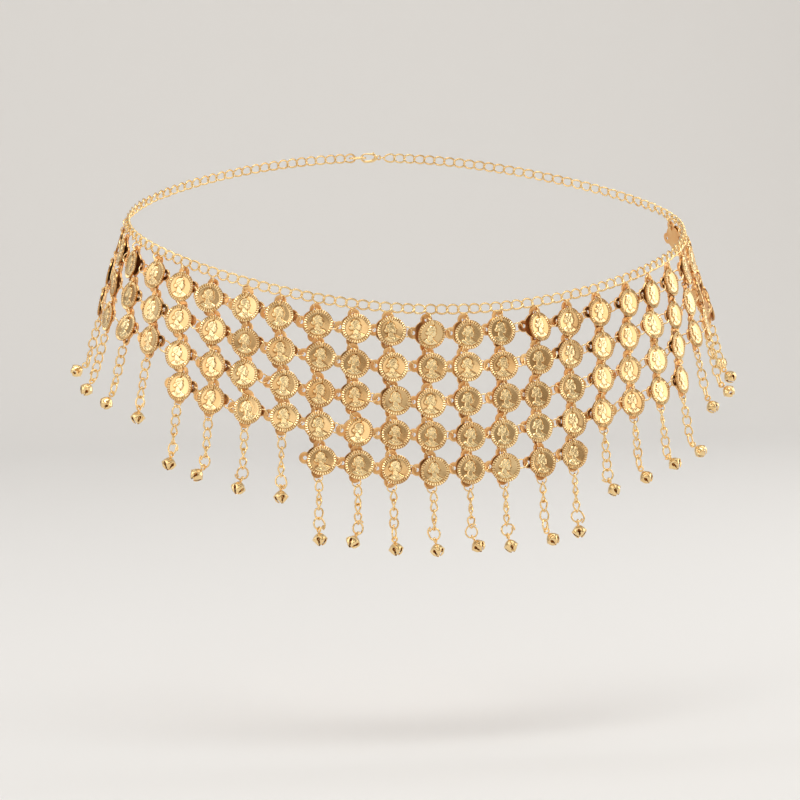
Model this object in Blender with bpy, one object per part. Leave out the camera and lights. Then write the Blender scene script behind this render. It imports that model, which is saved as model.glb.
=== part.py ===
"""Coin belt: a waist chain that carries a net of coins, with a row of jingle bells below.

The belt keeps the hollow form it has when it is worn. The front faces -Y, +Z is up and the
origin is the middle of the waist chain's loop. All sizes are in metres.

Construction, from the top down:
  the waist chain is a curb chain of oval links, closed behind by a lobster clasp and a ring;
  24 columns hang from it, each of 3 to 5 stamped plates with four ears and a coin in front;
  jump rings join ear to ear, and the last ear of each column holds a ring;
  on that ring swings a dangle: links of chain, one larger ring and a jingle bell.
"""

import math

import bmesh
import bpy
import numpy as np
from mathutils import Matrix, Vector

# Form of the hips that the belt hangs on, an ellipse that widens downwards
HIP_HALF_WIDTH = 0.175
HIP_HALF_DEPTH = 0.110
SIDE_FLARE = 0.28  # growth of the half width for each metre down
FRONT_FLARE = 0.12  # growth of the half depth for each metre down
CHAIN_SAG = 0.044  # the chain is this much below the loop's middle in front, above it behind

# Waist chain
LINK_PITCH = 0.0066
LINK_HALF_HEIGHT = 0.0032
LINK_HOLE_HALF_LENGTH = 0.0023
LINK_HOLE_HALF_HEIGHT = 0.0022
CHAIN_THICKNESS = 0.0016
CHAIN_STAND_OFF = 0.0010  # middle of the links, out from the hips
CHAIN_ARCS = (
    # name, first link, last link; link 0 starts at the middle of the front
    ("chain_right_back", -68, -41),
    ("chain_right_side", -41, -14),
    ("chain_front", -14, 14),
    ("chain_left_side", 14, 41),
    ("chain_left_back", 41, 69),
)

# Net of plates and coins
COLUMNS = 24
COLUMN_PITCH = 0.022
ROW_PITCH = 0.020
FIRST_DROP = 0.0142  # from the chain to the middle of the first plate
ROWS_BY_REACH = (
    # columns out from the middle of the front, plates in each of them
    (4, 5),
    (8, 4),
    (12, 3),
)
COIN_RADIUS = 0.00865
COIN_THICKNESS = 0.0012
PLATE_THICKNESS = 0.0010
EAR_HALF_ANGLE = math.radians(22.5)
EAR_REACH = 0.0101  # from the plate's middle to the tip of an ear
EAR_TIP_HALF_WIDTH = 0.0017
EAR_HOLE_REACH = 0.0080  # from the plate's middle to the hole in an ear
PLATE_TURN_SHARE = 0.5  # a plate turns by this share of its row's slope
SWAY_SIDE = 0.0008  # uneven hang of the plates, sideways and up
SWAY_UP = 0.0005

# Ring on the last ear, and the dangle that swings on it
WIRE = 0.0010
FOOT_RING_DROP = 0.0050  # from the ear's hole to the ring's lowest wire
FOOT_RING_OUTER = (
    # half width, height above the lowest wire's middle
    (0.0030, 0.0024),
    (0.0016, -WIRE / 2.0),
)
FOOT_RING_INNER = (
    (0.0019, 0.0038),
    (0.0017, WIRE / 2.0),
)
HANGING_LOOP_OUTER = (
    # half width, height above the foot ring's wire
    (0.0009, 0.0021),
    (0.0021, -0.0012),
    (0.0009, -0.0048),
)
HANGING_LOOP_INNER = (
    (0.00075, 0.00115),
    (0.0013, -0.0012),
    (0.0006, -0.0037),
)
DANGLE_LINKS = 3
DANGLE_LINK_PITCH = 0.0055
DANGLE_LINK_HALF_WIDTH = 0.0029
LINK_WAIST = 0.0008  # half width where one link passes through the next
JUMP_RING_RADIUS = 0.00375
BELL_RADIUS = 0.0040
BELL_DROP = 0.0342  # from the foot ring's lowest wire to the bell's middle
BELL_RINGS = (
    # height above the bell's middle and radius, both as a share of the bell's radius
    (0.78, 0.60),
    (0.10, 1.00),
    (-0.74, 0.66),
)

# Lobster clasp and end ring that close the chain behind
CLASP_THICKNESS = 0.0026
CLASP_EYE_RADIUS = 0.0019
CLASP_TAIL = 0.0126  # from the middle of the eye back to the chain
CLASP_OUTLINE = (
    # along the chain from the middle of the eye, half height
    (-CLASP_TAIL, 0.0016),
    (-0.0026, 0.0034),
    (0.0014, 0.0034),
    (0.0034, 0.0014),
)
END_RING_HALF_DEPTH = 0.0026  # the ring stands square to the chain
END_RING_WIRE = 0.0012

GAP = 0.0003  # left between neighbours that touch on the real belt
SECTION_SAMPLES = 721
CHAIN_SAMPLES = 1441

# Colours and finishes: base colour, roughness
GOLD_COIN = ((0.83, 0.62, 0.33, 1.0), 0.24)
GOLD_CHAIN = ((0.86, 0.68, 0.40, 1.0), 0.20)
GOLD_BELL = ((0.85, 0.64, 0.34, 1.0), 0.16)


def clear_scene():
    for thing in list(bpy.data.objects):
        bpy.data.objects.remove(thing)


def metal(name, finish):
    colour, roughness = finish
    material = bpy.data.materials.new(name)
    material.use_nodes = True
    shader = material.node_tree.nodes["Principled BSDF"]
    shader.inputs["Base Color"].default_value = colour
    shader.inputs["Metallic"].default_value = 1.0
    shader.inputs["Roughness"].default_value = roughness
    return material


def add_object(name, bm, material, matrix):
    bmesh.ops.recalc_face_normals(bm, faces=bm.faces)
    mesh = bpy.data.meshes.new(name)
    bm.to_mesh(mesh)
    bm.free()
    mesh.materials.append(material)
    thing = bpy.data.objects.new(name, mesh)
    thing.matrix_world = matrix
    bpy.context.scene.collection.objects.link(thing)
    return thing


# Form of the hips

def hip_sizes(z):
    """Half width and half depth of the hips at a height."""
    return HIP_HALF_WIDTH - SIDE_FLARE * z, HIP_HALF_DEPTH - FRONT_FLARE * z


def hip_section(z):
    """Points round the hips at a height, with their arc length from the middle of the front."""
    half_width, half_depth = hip_sizes(z)
    angle = np.linspace(-math.pi, math.pi, SECTION_SAMPLES)
    x = half_width * np.sin(angle)
    y = -half_depth * np.cos(angle)
    arc = np.concatenate(([0.0], np.cumsum(np.hypot(np.diff(x), np.diff(y)))))
    return x, y, arc - arc[SECTION_SAMPLES // 2]


def hip_point(arc, z):
    x, y, arcs = hip_section(z)
    return Vector((float(np.interp(arc, arcs, x)), float(np.interp(arc, arcs, y)), z))


def hip_normal(point):
    """Outward normal of the widening hips; it leans up because they widen downwards."""
    half_width, half_depth = hip_sizes(point.z)
    across = point.x**2 * SIDE_FLARE / half_width**3
    deep = point.y**2 * FRONT_FLARE / half_depth**3
    return Vector((point.x / half_width**2, point.y / half_depth**2, across + deep)).normalized()


# Path of the waist chain

def chain_path():
    """Arc round the hips, place and length along the chain, from behind on one side to the other."""
    half = hip_section(CHAIN_SAG)[2][-1]
    arcs = np.linspace(-half, half, CHAIN_SAMPLES)
    heights = -CHAIN_SAG * np.cos(math.pi * arcs / half)
    points = np.array([hip_point(arc, float(z)) for arc, z in zip(arcs, heights)])
    steps = np.linalg.norm(np.diff(points, axis=0), axis=1)
    lengths = np.concatenate(([0.0], np.cumsum(steps)))
    return arcs, points, lengths - lengths[CHAIN_SAMPLES // 2]


CHAIN_ARC, CHAIN_POINT, CHAIN_LENGTH = chain_path()


def chain_point(length):
    """Point of the chain's path; a length past the middle of the back comes round the other side."""
    start, end = CHAIN_LENGTH[0], CHAIN_LENGTH[-1]
    length = (length - start) % (end - start) + start
    return Vector([float(np.interp(length, CHAIN_LENGTH, CHAIN_POINT[:, i])) for i in range(3)])


def frame_matrix(origin, right, inward):
    """Matrix whose X runs to the right, Y into the hips and Z up, as seen from outside."""
    up = right.cross(inward).normalized()
    inward = up.cross(right).normalized()
    return Matrix.Translation(origin) @ Matrix((right, inward, up)).transposed().to_4x4()


def chain_frame(length):
    """Frame of the chain: X along it, Y into the hips, Z across the links."""
    step = 0.0005
    along = (chain_point(length + step) - chain_point(length - step)).normalized()
    point = chain_point(length)
    return frame_matrix(point, along, -hip_normal(point))


# Waist chain

def build_chain_arc(name, first, last, material):
    """One stretch of the chain: its links fused where one passes through the next, holes open."""
    bm = bmesh.new()

    def vertex(length, height):
        place = Vector((0.0, -CHAIN_STAND_OFF, height))
        return bm.verts.new(chain_frame(length) @ place)

    start = first * LINK_PITCH + GAP / 2.0
    top, bottom = vertex(start, LINK_HALF_HEIGHT), vertex(start, -LINK_HALF_HEIGHT)
    hole_end = None
    for link in range(first, last):
        middle = (link + 0.5) * LINK_PITCH
        end = middle + LINK_PITCH / 2.0 - (GAP / 2.0 if link == last - 1 else 0.0)
        next_top, next_bottom = vertex(end, LINK_HALF_HEIGHT), vertex(end, -LINK_HALF_HEIGHT)
        hole_start = vertex(middle - LINK_HOLE_HALF_LENGTH, 0.0)
        hole_top = vertex(middle, LINK_HOLE_HALF_HEIGHT)
        hole_bottom = vertex(middle, -LINK_HOLE_HALF_HEIGHT)
        crossing = (top, hole_end, bottom, hole_start) if hole_end else (top, bottom, hole_start)
        bm.faces.new(crossing)
        hole_end = vertex(middle + LINK_HOLE_HALF_LENGTH, 0.0)
        bm.faces.new((top, hole_start, hole_top))
        bm.faces.new((top, hole_top, next_top))
        bm.faces.new((next_top, hole_top, hole_end))
        bm.faces.new((bottom, hole_bottom, hole_start))
        bm.faces.new((bottom, next_bottom, hole_bottom))
        bm.faces.new((next_bottom, hole_end, hole_bottom))
        top, bottom = next_top, next_bottom
    bm.faces.new((top, hole_end, bottom))

    arc = add_object(name, bm, material, Matrix.Identity(4))
    wall = arc.modifiers.new("Wire thickness", "SOLIDIFY")
    wall.thickness = CHAIN_THICKNESS
    wall.offset = 0.0


# Net of plates and coins

def rows_in(column):
    reach = abs(column - (COLUMNS - 1) / 2.0)
    for limit, rows in ROWS_BY_REACH:
        if reach < limit:
            return rows
    return 0


def column_length(column):
    """Length along the chain at which a column hangs."""
    return (column - (COLUMNS - 1) / 2.0) * COLUMN_PITCH


def column_frame(column):
    """Frame of a column: origin on the chain's middle, Z up along it, Y into the hips."""
    top = chain_point(column_length(column))
    arc = float(np.interp(column_length(column), CHAIN_LENGTH, CHAIN_ARC))
    run = ROW_PITCH * ROWS_BY_REACH[0][1]
    foot = hip_point(arc, top.z - run)
    down = (foot - top).normalized()
    right = (-hip_normal(top)).cross(-down).normalized()
    return frame_matrix(top, right, -hip_normal(top))


def row_slope(column):
    """Angle of the net's rows at a column, which is the chain's own slope there."""
    along = chain_frame(column_length(column)).to_3x3().col[0]
    local = column_frame(column).to_3x3().inverted() @ along
    return math.atan2(local.z, local.x)


def plate_turn(column):
    return PLATE_TURN_SHARE * row_slope(column)


def plate_middle(column, row):
    """Middle of a plate in its column's frame, with the net's uneven hang."""
    side = SWAY_SIDE * math.sin(2.3 * column + 1.7 * row)
    up = SWAY_UP * math.cos(1.9 * column - 2.6 * row)
    first = FIRST_DROP / math.cos(row_slope(column))
    return Vector((side, 0.0, up - first - ROW_PITCH * row))


def in_plane(distance, angle):
    return Vector((distance * math.cos(angle), 0.0, distance * math.sin(angle)))


def plate_rim(bm, middle, turn):
    """Twelve points of a plate's edge; ear 0 points right, 1 up, 2 left and 3 down."""
    rim = []
    for ear in range(4):
        axis = turn + ear * math.pi / 2.0
        for offset in (-EAR_HALF_ANGLE, EAR_HALF_ANGLE, math.pi / 4.0):
            rim.append(bm.verts.new(middle + in_plane(COIN_RADIUS, axis + offset)))
    return rim


def ear_base(rim, ear):
    return rim[3 * ear], rim[3 * ear + 1]


def add_ear(bm, base, tip, direction):
    """Flat ear from two rim points to a tip that faces along a direction."""
    across = Vector((-direction.z, 0.0, direction.x)) * EAR_TIP_HALF_WIDTH
    low, high = bm.verts.new(tip - across), bm.verts.new(tip + across)
    bm.faces.new((base[0], low, high, base[1]))


def side_ear(bm, column, row, rim, middle, turn, side):
    """Ear to the left (-1) or right (1), reaching half way to the next plate if there is one."""
    neighbour = column + side
    base = ear_base(rim, 0 if side > 0 else 2)
    angle = turn if side > 0 else turn + math.pi
    direction = in_plane(1.0, angle)
    reach = EAR_REACH
    if 0 <= neighbour < COLUMNS and row < rows_in(neighbour):
        other = column_frame(neighbour) @ plate_middle(neighbour, row)
        towards = column_frame(column).inverted() @ other - middle
        towards.y = 0.0
        direction = towards.normalized()
        reach = towards.length / 2.0 - GAP * 0.6
    add_ear(bm, base, middle + direction * reach, direction)


def top_ear(bm, column, rim):
    """Ear that ends just under the waist chain, cut along the chain's slope."""
    slope = row_slope(column)
    base = ear_base(rim, 1)
    tips = []
    for side in (1, -1):
        x = side * EAR_TIP_HALF_WIDTH
        z = x * math.tan(slope) - (LINK_HALF_HEIGHT + GAP) / math.cos(slope)
        tips.append(bm.verts.new((x, 0.0, z)))
    bm.faces.new((base[0], tips[0], tips[1], base[1]))


def steepest_angle(column):
    """Angle, in a column's plane, by which what hangs free leans off the column's own line."""
    down = column_frame(column).to_3x3().inverted() @ Vector((0.0, 0.0, -1.0))
    return math.atan2(down.x, -down.z)


def foot_wire(column):
    """Middle of the foot ring's lowest wire in a column's frame, straight below the last ear."""
    ear = plate_middle(column, rows_in(column) - 1)
    ear += in_plane(EAR_HOLE_REACH, plate_turn(column) - math.pi / 2.0)
    return ear + in_plane(FOOT_RING_DROP, steepest_angle(column) - math.pi / 2.0)


def foot_ring(bm, column, rim):
    """Ring on the last ear, lying in the plates' plane; the dangle swings on its lowest wire."""
    left, right = ear_base(rim, 3)
    wire = foot_wire(column)
    lean = Matrix.Rotation(-steepest_angle(column), 3, "Y")

    def half_ring(outline, side):
        return [bm.verts.new(wire + lean @ Vector((side * x, 0.0, z))) for x, z in outline]

    left_side, left_foot = half_ring(FOOT_RING_OUTER, -1)
    right_side, right_foot = half_ring(FOOT_RING_OUTER, 1)
    left_top, left_in = half_ring(FOOT_RING_INNER, -1)
    right_top, right_in = half_ring(FOOT_RING_INNER, 1)
    bm.faces.new((left, left_side, left_in, left_top))
    bm.faces.new((left_side, left_foot, left_in))
    bm.faces.new((left_foot, right_foot, right_in, left_in))
    bm.faces.new((right_foot, right_side, right_in))
    bm.faces.new((right_side, right, right_top, right_in))
    bm.faces.new((right, left, left_top, right_top))


def build_column(column, material):
    """One column of plates joined ear to ear, with its coins in front."""
    bm = bmesh.new()
    turn = plate_turn(column)
    rims = []
    for row in range(rows_in(column)):
        middle = plate_middle(column, row)
        rim = plate_rim(bm, middle, turn)
        bm.faces.new(rim)
        rims.append(rim)
        side_ear(bm, column, row, rim, middle, turn, -1)
        side_ear(bm, column, row, rim, middle, turn, 1)
    top_ear(bm, column, rims[0])
    for above, below in zip(rims, rims[1:]):
        left, right = ear_base(above, 3)
        bm.faces.new((left, right, *ear_base(below, 1)))
    foot_ring(bm, column, rims[-1])

    grown = bmesh.ops.extrude_face_region(bm, geom=list(bm.faces))["geom"]
    front = [item for item in grown if isinstance(item, bmesh.types.BMVert)]
    bmesh.ops.translate(bm, verts=front, vec=(0.0, -PLATE_THICKNESS, 0.0))
    coins = [item for item in grown if isinstance(item, bmesh.types.BMFace) and len(item.verts) == 12]
    for coin in coins:
        corners = list(coin.verts)
        raised = bmesh.ops.extrude_face_region(bm, geom=[coin])["geom"]
        face = [item for item in raised if isinstance(item, bmesh.types.BMVert)]
        bmesh.ops.translate(bm, verts=face, vec=(0.0, -COIN_THICKNESS, 0.0))
        bm.faces.remove(coin)
        bm.normal_update()
        merge_plain_sides(bm, corners)
    return add_object(f"column_{column + 1:02d}", bm, material, column_frame(column))


def merge_plain_sides(bm, corners):
    """Makes the coin's and the plate's edge one face where no ear stands out."""
    seams = set()
    for corner in corners:
        for edge in corner.link_edges:
            if edge.other_vert(corner) in corners:
                one, two = edge.link_faces
                if abs(one.normal.y) < 0.5 and abs(two.normal.y) < 0.5:
                    seams.add(edge)
    bmesh.ops.dissolve_edges(bm, edges=list(seams), use_verts=True)


# Dangles

def hinge_frame(column):
    """Frame on the lowest wire of a column's foot ring: X level along it, Z up the hips."""
    wire = column_frame(column) @ (foot_wire(column) + Vector((0.0, -PLATE_THICKNESS / 2.0, 0.0)))
    outward = -column_frame(column).to_3x3().col[1]
    level = Vector((0.0, 0.0, 1.0)).cross(outward).normalized()
    return frame_matrix(wire, level, -outward)


def flat_loop(bm, outer, inner, place, half_thickness, open_edges):
    """Flat ring between two outlines of as many points; place turns (u, z, thickness) into a point.

    Returns the four corners at each outer edge that is left open, for the next piece to join.
    """
    count = len(outer)
    sides = []
    for thickness in (-half_thickness, half_thickness):
        sides.append([
            [bm.verts.new(place(u, z, thickness)) for u, z in outline] for outline in (outer, inner)
        ])
    (back_out, back_in), (front_out, front_in) = sides
    openings = []
    for i in range(count):
        j = (i + 1) % count
        bm.faces.new((back_out[i], back_out[j], back_in[j], back_in[i]))
        bm.faces.new((front_out[j], front_out[i], front_in[i], front_in[j]))
        bm.faces.new((back_in[i], back_in[j], front_in[j], front_in[i]))
        corners = (back_out[i], back_out[j], front_out[j], front_out[i])
        if i in open_edges:
            openings.append(corners)
        else:
            bm.faces.new(corners)
    return openings


def ring_outline(radius, middle):
    """Six points with a flat top and bottom; edge 0 is the bottom and edge 3 the top."""
    points = []
    for i in range(6):
        angle = math.radians(240.0 + 60.0 * i)
        points.append((radius * math.cos(angle), middle + radius * math.sin(angle)))
    return points


def whole_outline(half_outline):
    """Six points from three of one side; edge 5 is the bottom and edge 2 the top."""
    right = [(x, z) for x, z in half_outline]
    left = [(-x, z) for x, z in half_outline]
    return right[::-1] + left


def upright(across, height, thickness):
    """Place in a link that stands square to the foot ring."""
    return (thickness, across, height)


def facing(across, height, thickness):
    """Place in a link that lies as the foot ring does."""
    return (across, thickness, height)


def near_order(corners, others):
    """Turns the second ring of corners so that each lies by its partner in the first."""
    turns = []
    for ring in (others, others[::-1]):
        for k in range(len(ring)):
            turned = ring[k:] + ring[:k]
            spread = sum((a.co - b.co).length for a, b in zip(corners, turned))
            turns.append((spread, k, turned))
    return min(turns, key=lambda turn: turn[:2])[2]


def join_rings(bm, corners, others):
    others = near_order(list(corners), list(others))
    for i in range(len(corners)):
        j = (i + 1) % len(corners)
        bm.faces.new((corners[i], corners[j], others[j], others[i]))


def build_dangle(column, material):
    """Chain of links, jump ring and jingle bell, hung from the foot ring's lowest wire."""
    bm = bmesh.new()
    # First link: stands square to the foot ring and passes round its lowest wire
    bow, hole = whole_outline(HANGING_LOOP_OUTER), whole_outline(HANGING_LOOP_INNER)
    (corners,) = flat_loop(bm, bow, hole, upright, WIRE / 2.0, (5,))

    # Links that turn by a quarter from one to the next, drawn as solid lozenges
    sections = []
    for link in range(1, DANGLE_LINKS + 1):
        middle = -(link + 0.5) * DANGLE_LINK_PITCH
        half_sizes = (DANGLE_LINK_HALF_WIDTH, WIRE / 2.0)
        sections.append((middle, *(half_sizes if link % 2 else half_sizes[::-1])))
        if link < DANGLE_LINKS:
            sections.append((middle - DANGLE_LINK_PITCH / 2.0, LINK_WAIST, LINK_WAIST))
    for z, half_x, half_y in sections:
        ring = [bm.verts.new((x * half_x, y * half_y, z)) for x, y in ((-1, -1), (1, -1), (1, 1), (-1, 1))]
        join_rings(bm, corners, ring)
        corners = ring

    # Jump ring
    ring_middle = -(DANGLE_LINKS + 1) * DANGLE_LINK_PITCH + WIRE - JUMP_RING_RADIUS
    outer = ring_outline(JUMP_RING_RADIUS, ring_middle)
    inner = ring_outline(JUMP_RING_RADIUS - WIRE * 1.1, ring_middle)
    bottom, top = flat_loop(bm, outer, inner, facing, WIRE / 2.0, (0, 3))
    join_rings(bm, corners, top)

    # Bell
    previous = list(bottom)
    for height, radius in BELL_RINGS:
        ring = []
        for i in range(8):
            angle = math.radians(45.0 * i + 22.5)
            reach = BELL_RADIUS * radius
            place = (reach * math.cos(angle), reach * math.sin(angle), BELL_RADIUS * height - BELL_DROP)
            ring.append(bm.verts.new(place))
        if len(previous) == 4:
            close_neck(bm, previous, ring)
        else:
            join_rings(bm, previous, ring)
        previous = ring
    bm.faces.new(previous)
    return add_object(f"dangle_{column + 1:02d}", bm, material, hinge_frame(column))


def close_neck(bm, square, ring):
    """Joins the four corners of the neck to the bell's ring of eight."""
    ordered = sorted(square, key=lambda v: math.atan2(v.co.y, v.co.x))
    eight = sorted(ring, key=lambda v: math.atan2(v.co.y, v.co.x))
    for i in range(4):
        j = (i + 1) % 4
        a, b, c = eight[2 * i], eight[2 * i + 1], eight[(2 * i + 2) % 8]
        bm.faces.new((ordered[i], a, b))
        bm.faces.new((ordered[i], b, c, ordered[j]))


# Clasp and end ring

def clasp_eye():
    """Length along the chain at the middle of the clasp's eye."""
    return CHAIN_ARCS[-1][2] * LINK_PITCH + GAP / 2.0 + CLASP_TAIL


def build_clasp(material):
    """Lobster clasp, drawn as a closed hook with the eye that the end ring passes through."""
    bm = bmesh.new()
    outline = list(CLASP_OUTLINE) + [(x, -z) for x, z in reversed(CLASP_OUTLINE)]
    outer, inner = [], []
    for i, (x, z) in enumerate(outline):
        angle = math.radians(157.5 - 45.0 * i)
        eye_x, eye_z = CLASP_EYE_RADIUS * math.cos(angle), CLASP_EYE_RADIUS * math.sin(angle)
        outer.append(bm.verts.new((x, -CHAIN_STAND_OFF, z)))
        inner.append(bm.verts.new((eye_x, -CHAIN_STAND_OFF, eye_z)))
    for i in range(len(outline)):
        j = (i + 1) % len(outline)
        bm.faces.new((outer[i], outer[j], inner[j], inner[i]))
    clasp = add_object("clasp", bm, material, chain_frame(clasp_eye()))
    wall = clasp.modifiers.new("Clasp thickness", "SOLIDIFY")
    wall.thickness = CLASP_THICKNESS
    wall.offset = 0.0


def build_end_ring(material):
    """Oval ring from the clasp's eye to the first link on the other side."""
    whole = CHAIN_LENGTH[-1] - CHAIN_LENGTH[0]
    last_hole = whole + (CHAIN_ARCS[0][1] + 0.5) * LINK_PITCH
    half_length = (last_hole - clasp_eye()) / 2.0
    bm = bmesh.new()
    sections = []
    for i in range(12):
        angle = math.radians(30.0 * i)
        middle = Vector((half_length * math.cos(angle), END_RING_HALF_DEPTH * math.sin(angle), 0.0))
        outward = Vector((math.cos(angle) / half_length, math.sin(angle) / END_RING_HALF_DEPTH, 0.0)).normalized()
        section = []
        for k in range(5):
            around = math.radians(72.0 * k)
            offset = outward * math.cos(around) + Vector((0.0, 0.0, math.sin(around)))
            place = middle + offset * END_RING_WIRE / 2.0 - Vector((0.0, CHAIN_STAND_OFF, 0.0))
            section.append(bm.verts.new(place))
        sections.append(section)
    for section, following in zip(sections, sections[1:] + sections[:1]):
        for k in range(5):
            m = (k + 1) % 5
            bm.faces.new((section[k], section[m], following[m], following[k]))
    add_object("end_ring", bm, material, chain_frame(clasp_eye() + half_length))


def main():
    clear_scene()
    chain_metal = metal("Gold chain", GOLD_CHAIN)
    for name, first, last in CHAIN_ARCS:
        build_chain_arc(name, first, last, chain_metal)
    coin_metal = metal("Gold coin", GOLD_COIN)
    bell_metal = metal("Gold bell", GOLD_BELL)
    for column in range(COLUMNS):
        build_column(column, coin_metal)
        build_dangle(column, bell_metal)
    clasp_metal = metal("Gold clasp", GOLD_CHAIN)
    build_clasp(clasp_metal)
    build_end_ring(clasp_metal)


main()
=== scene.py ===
"""Coin belt for the hips, all of light gold-tone metal, drawn round its solids from the frame.

The sections follow the belt from the top down: the waist chain, the stamped plates, the coins, the
rings of the net, the dangles with their bells, and the clasp behind. Sizes are in metres, but for
the stamped and cast shapes, which are drawn in millimetres.
"""

from math import acos, asin, atan2, cos, exp, pi, radians, sin

import bmesh
import bpy
import numpy as np
from mathutils import Matrix, Vector
from mathutils.geometry import delaunay_2d_cdt


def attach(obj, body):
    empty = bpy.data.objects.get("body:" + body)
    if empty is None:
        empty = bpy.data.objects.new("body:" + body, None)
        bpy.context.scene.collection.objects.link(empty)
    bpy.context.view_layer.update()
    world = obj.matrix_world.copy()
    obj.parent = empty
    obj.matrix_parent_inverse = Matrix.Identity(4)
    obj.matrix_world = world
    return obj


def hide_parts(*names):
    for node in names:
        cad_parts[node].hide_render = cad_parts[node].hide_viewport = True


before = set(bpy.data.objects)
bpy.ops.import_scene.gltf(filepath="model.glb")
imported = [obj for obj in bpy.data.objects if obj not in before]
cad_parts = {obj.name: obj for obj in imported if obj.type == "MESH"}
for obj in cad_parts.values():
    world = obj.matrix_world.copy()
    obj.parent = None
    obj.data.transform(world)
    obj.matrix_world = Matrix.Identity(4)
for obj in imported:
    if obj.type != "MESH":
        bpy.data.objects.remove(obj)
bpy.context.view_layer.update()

# Waist chain
# A curb chain of oval links in round brass wire, each link twisted so that the chain lies flat.
# It goes all round the hips, low in front and high behind, and carries the whole net.

HIP_HALF_WIDTH = 0.175
HIP_HALF_DEPTH = 0.110
SIDE_FLARE = 0.28  # growth of the half width for each metre down
FRONT_FLARE = 0.12  # growth of the half depth for each metre down
HIP_SAMPLES = 721
CHAIN_SAG = 0.044
CHAIN_SAMPLES = 1441
AIM_STEP = 0.0005  # the chain's direction is read this far to each side
LINK_PITCH = 0.0066
FIRST_LINK, LAST_LINK = -68, 69
LINK_LENGTH = 0.0085
LINK_WIDTH = 0.0066
LINK_CORNERS = 16
LINK_ROLL, LINK_TIP = 5.0, 2.0  # degrees: how unevenly the links lie
CHAIN_WIRE = 0.00124
WIRE_SIDES = 6
CHAIN_TWIST = 180.0  # how far the wire leaves the link's plane, for each square metre of x times z
CHAIN_STAND_OFF = 0.0010
CHAIN_SEED = 100
SMEAR_DEPTH = 0.9  # how far the plating's uneven tone goes from pale to deep
CHAIN_PIECES = (
    # node, first link, last link
    ("chain_right_back", FIRST_LINK, -41),
    ("chain_right_side", -41, -14),
    ("chain_front", -14, 14),
    ("chain_left_side", 14, 41),
    ("chain_left_back", 41, LAST_LINK),
)


def hip_sizes(z):
    return HIP_HALF_WIDTH - SIDE_FLARE * z, HIP_HALF_DEPTH - FRONT_FLARE * z


def hip_section(z):
    """Points round the hips at a height, with their arc length from the middle of the front."""
    half_width, half_depth = hip_sizes(z)
    angle = np.linspace(-pi, pi, HIP_SAMPLES)
    x, y = half_width * np.sin(angle), -half_depth * np.cos(angle)
    arc = np.concatenate(([0.0], np.cumsum(np.hypot(np.diff(x), np.diff(y)))))
    return x, y, arc - arc[HIP_SAMPLES // 2]


def hip_point(arc, z):
    x, y, arcs = hip_section(z)
    return Vector((float(np.interp(arc, arcs, x)), float(np.interp(arc, arcs, y)), z))


def hip_normal(point):
    half_width, half_depth = hip_sizes(point.z)
    lean = point.x**2 * SIDE_FLARE / half_width**3 + point.y**2 * FRONT_FLARE / half_depth**3
    return Vector((point.x / half_width**2, point.y / half_depth**2, lean)).normalized()


def chain_path():
    """Arc round the hips, place and length along the chain, from behind on one side to the other."""
    half = hip_section(CHAIN_SAG)[2][-1]
    arcs = np.linspace(-half, half, CHAIN_SAMPLES)
    heights = -CHAIN_SAG * np.cos(pi * arcs / half)
    points = np.array([hip_point(arc, float(z)) for arc, z in zip(arcs, heights)])
    steps = np.linalg.norm(np.diff(points, axis=0), axis=1)
    lengths = np.concatenate(([0.0], np.cumsum(steps)))
    return arcs, points, lengths - lengths[CHAIN_SAMPLES // 2]


CHAIN_ARC, CHAIN_POINT, CHAIN_LENGTH = chain_path()


def chain_point(length):
    start, end = CHAIN_LENGTH[0], CHAIN_LENGTH[-1]
    length = (length - start) % (end - start) + start
    return Vector([float(np.interp(length, CHAIN_LENGTH, CHAIN_POINT[:, i])) for i in range(3)])


def facing_frame(origin, right, inward):
    """Matrix whose X runs to the right, Y into the hips and Z up, as seen from outside."""
    up = right.cross(inward).normalized()
    inward = up.cross(right).normalized()
    return Matrix.Translation(origin) @ Matrix((right, inward, up)).transposed().to_4x4()


def chain_frame(length):
    along = (chain_point(length + AIM_STEP) - chain_point(length - AIM_STEP)).normalized()
    point = chain_point(length)
    return facing_frame(point, along, -hip_normal(point))


def turned(degrees, axis):
    return Matrix.Rotation(radians(degrees), 4, axis)


def moved(*place):
    return Matrix.Translation(place)


def new_object(name, data):
    thing = bpy.data.objects.new(name, data)
    bpy.context.scene.collection.objects.link(thing)
    return thing


def new_tree(name, tree_type, inputs, outputs):
    """Node tree with the inputs and outputs named, each a list of names for every kind of socket."""
    tree = bpy.data.node_groups.new(name, tree_type)
    for in_out, sockets in (("INPUT", inputs), ("OUTPUT", outputs)):
        for kind, names in sockets.items():
            for socket in names:
                tree.interface.new_socket(socket, in_out=in_out, socket_type=f"NodeSocket{kind}")
    return tree, tree.nodes.new("NodeGroupInput").outputs, tree.nodes.new("NodeGroupOutput").inputs


def add(tree, kind, inputs=None, **settings):
    """New node with its settings made, and its inputs linked to a socket or given a value."""
    node = tree.nodes.new(kind)
    for name, value in settings.items():
        setattr(node, name, value)
    for socket, value in (inputs or {}).items():
        if isinstance(value, bpy.types.NodeSocket):
            tree.links.new(value, node.inputs[socket])
        else:
            node.inputs[socket].default_value = value
    return node


def maths(tree, operation, first, second):
    return add(tree, "ShaderNodeMath", {0: first, 1: second}, operation=operation).outputs[0]


def in_use(sockets):
    return [socket for socket in sockets if socket.enabled]


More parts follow.
